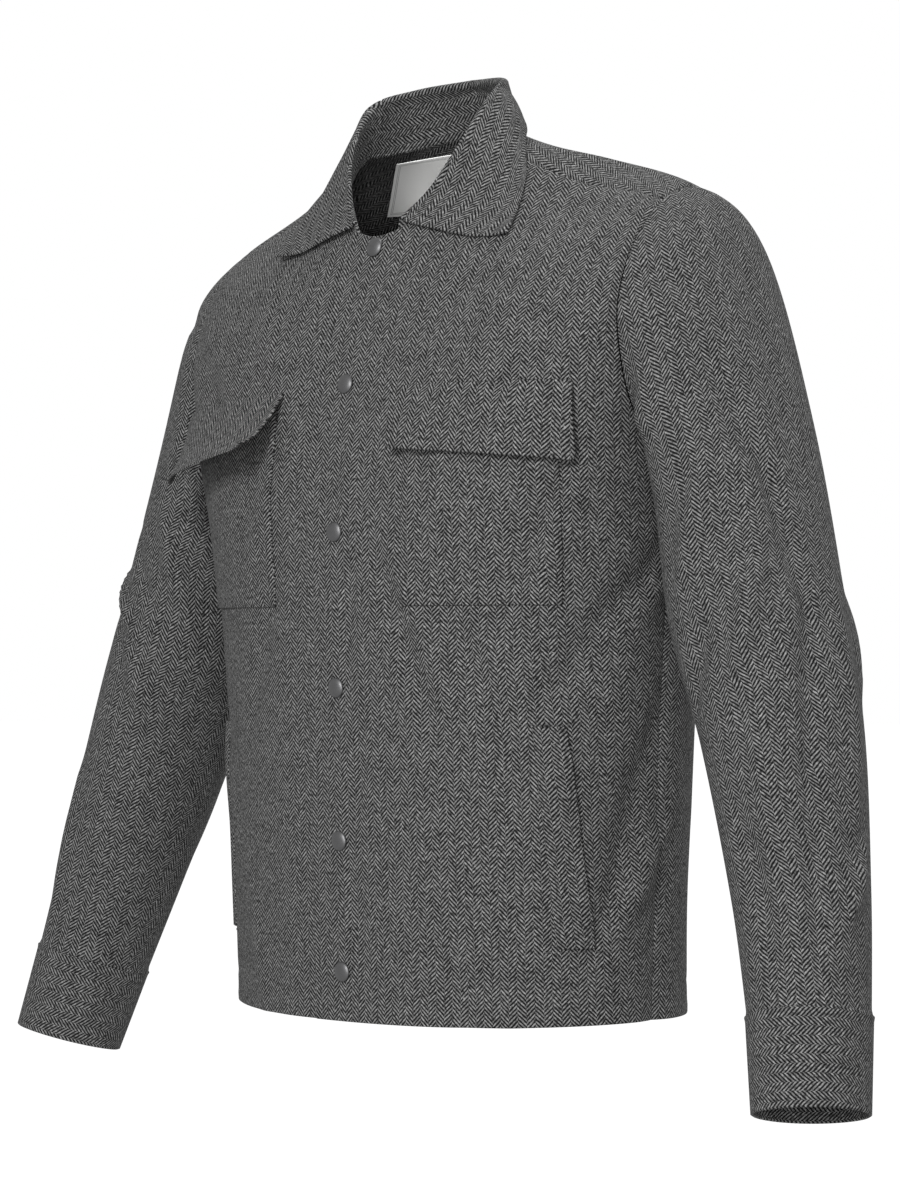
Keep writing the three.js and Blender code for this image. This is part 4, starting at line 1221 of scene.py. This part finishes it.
build_fronts()
build_back()
build_yoke()
build_sleeves()
build_collar()
for side, sign in (("left", 1), ("right", -1)):
    build_pocket(side, sign)
    build_flap(side, sign)
    build_welt(side, sign)
for side, sign in (("left", 1), ("right", -1)):
    build_tacks(side, sign)
build_snaps()
build_label()


# Camera, light and floor

def light(name, location, target, size, energy):
    lamp = bpy.data.lights.new(name, "AREA")
    lamp.shape = "DISK"
    lamp.size = size
    lamp.energy = energy
    obj = bpy.data.objects.new(name, lamp)
    obj.location = location
    way = np.array(target, float) - np.array(location, float)
    pitch = math.atan2(math.hypot(way[0], way[1]), -way[2])
    obj.rotation_euler = (pitch, 0, math.atan2(way[1], way[0]) - QUARTER)
    bpy.context.scene.collection.objects.link(obj)


def build_stage():
    scene = bpy.context.scene
    scene.view_settings.view_transform = "Standard"
    world = bpy.data.worlds.new("studio")
    world.use_nodes = True
    world.node_tree.nodes["Background"].inputs["Color"].default_value = (1, 1, 1, 1)
    world.node_tree.nodes["Background"].inputs["Strength"].default_value = WORLD_STRENGTH
    scene.world = world
    mesh = bpy.data.meshes.new("floor")
    size = FLOOR["size"]
    corners = [(-size, -size, 0), (size, -size, 0), (size, size, 0), (-size, size, 0)]
    mesh.from_pydata(corners, [], [(0, 1, 2, 3)])
    floor = bpy.data.objects.new("floor", mesh)
    floor.location = (0, 0, FLOOR["z"])
    material, tree, shader = blank("floor")
    # The floor gives off most of its own white, as a lit paper sweep does, and bounces little
    shader.inputs["Base Color"].default_value = (*FLOOR["bounce"], 1)
    shader.inputs["Emission Color"].default_value = (1, 1, 1, 1)
    shader.inputs["Emission Strength"].default_value = FLOOR["glow"]
    shader.inputs["Roughness"].default_value = 1.0
    shader.inputs["Specular IOR Level"].default_value = 0.0
    mesh.materials.append(material)
    scene.collection.objects.link(floor)
    for lamp in LIGHTS:
        light(*lamp)
    camera = bpy.data.cameras.new("camera")
    camera.lens, camera.sensor_width = CAMERA["lens"], CAMERA["sensor"]
    camera.shift_x, camera.shift_y = CAMERA["shift"]
    camera.clip_end = 100
    obj = bpy.data.objects.new("camera", camera)
    turn = math.radians(CAMERA["turn"])
    obj.location = (CAMERA["away"] * math.sin(turn), -CAMERA["away"] * math.cos(turn), CAMERA["z"])
    obj.rotation_euler = (QUARTER, 0, turn)
    scene.collection.objects.link(obj)
    scene.camera = obj


build_stage()
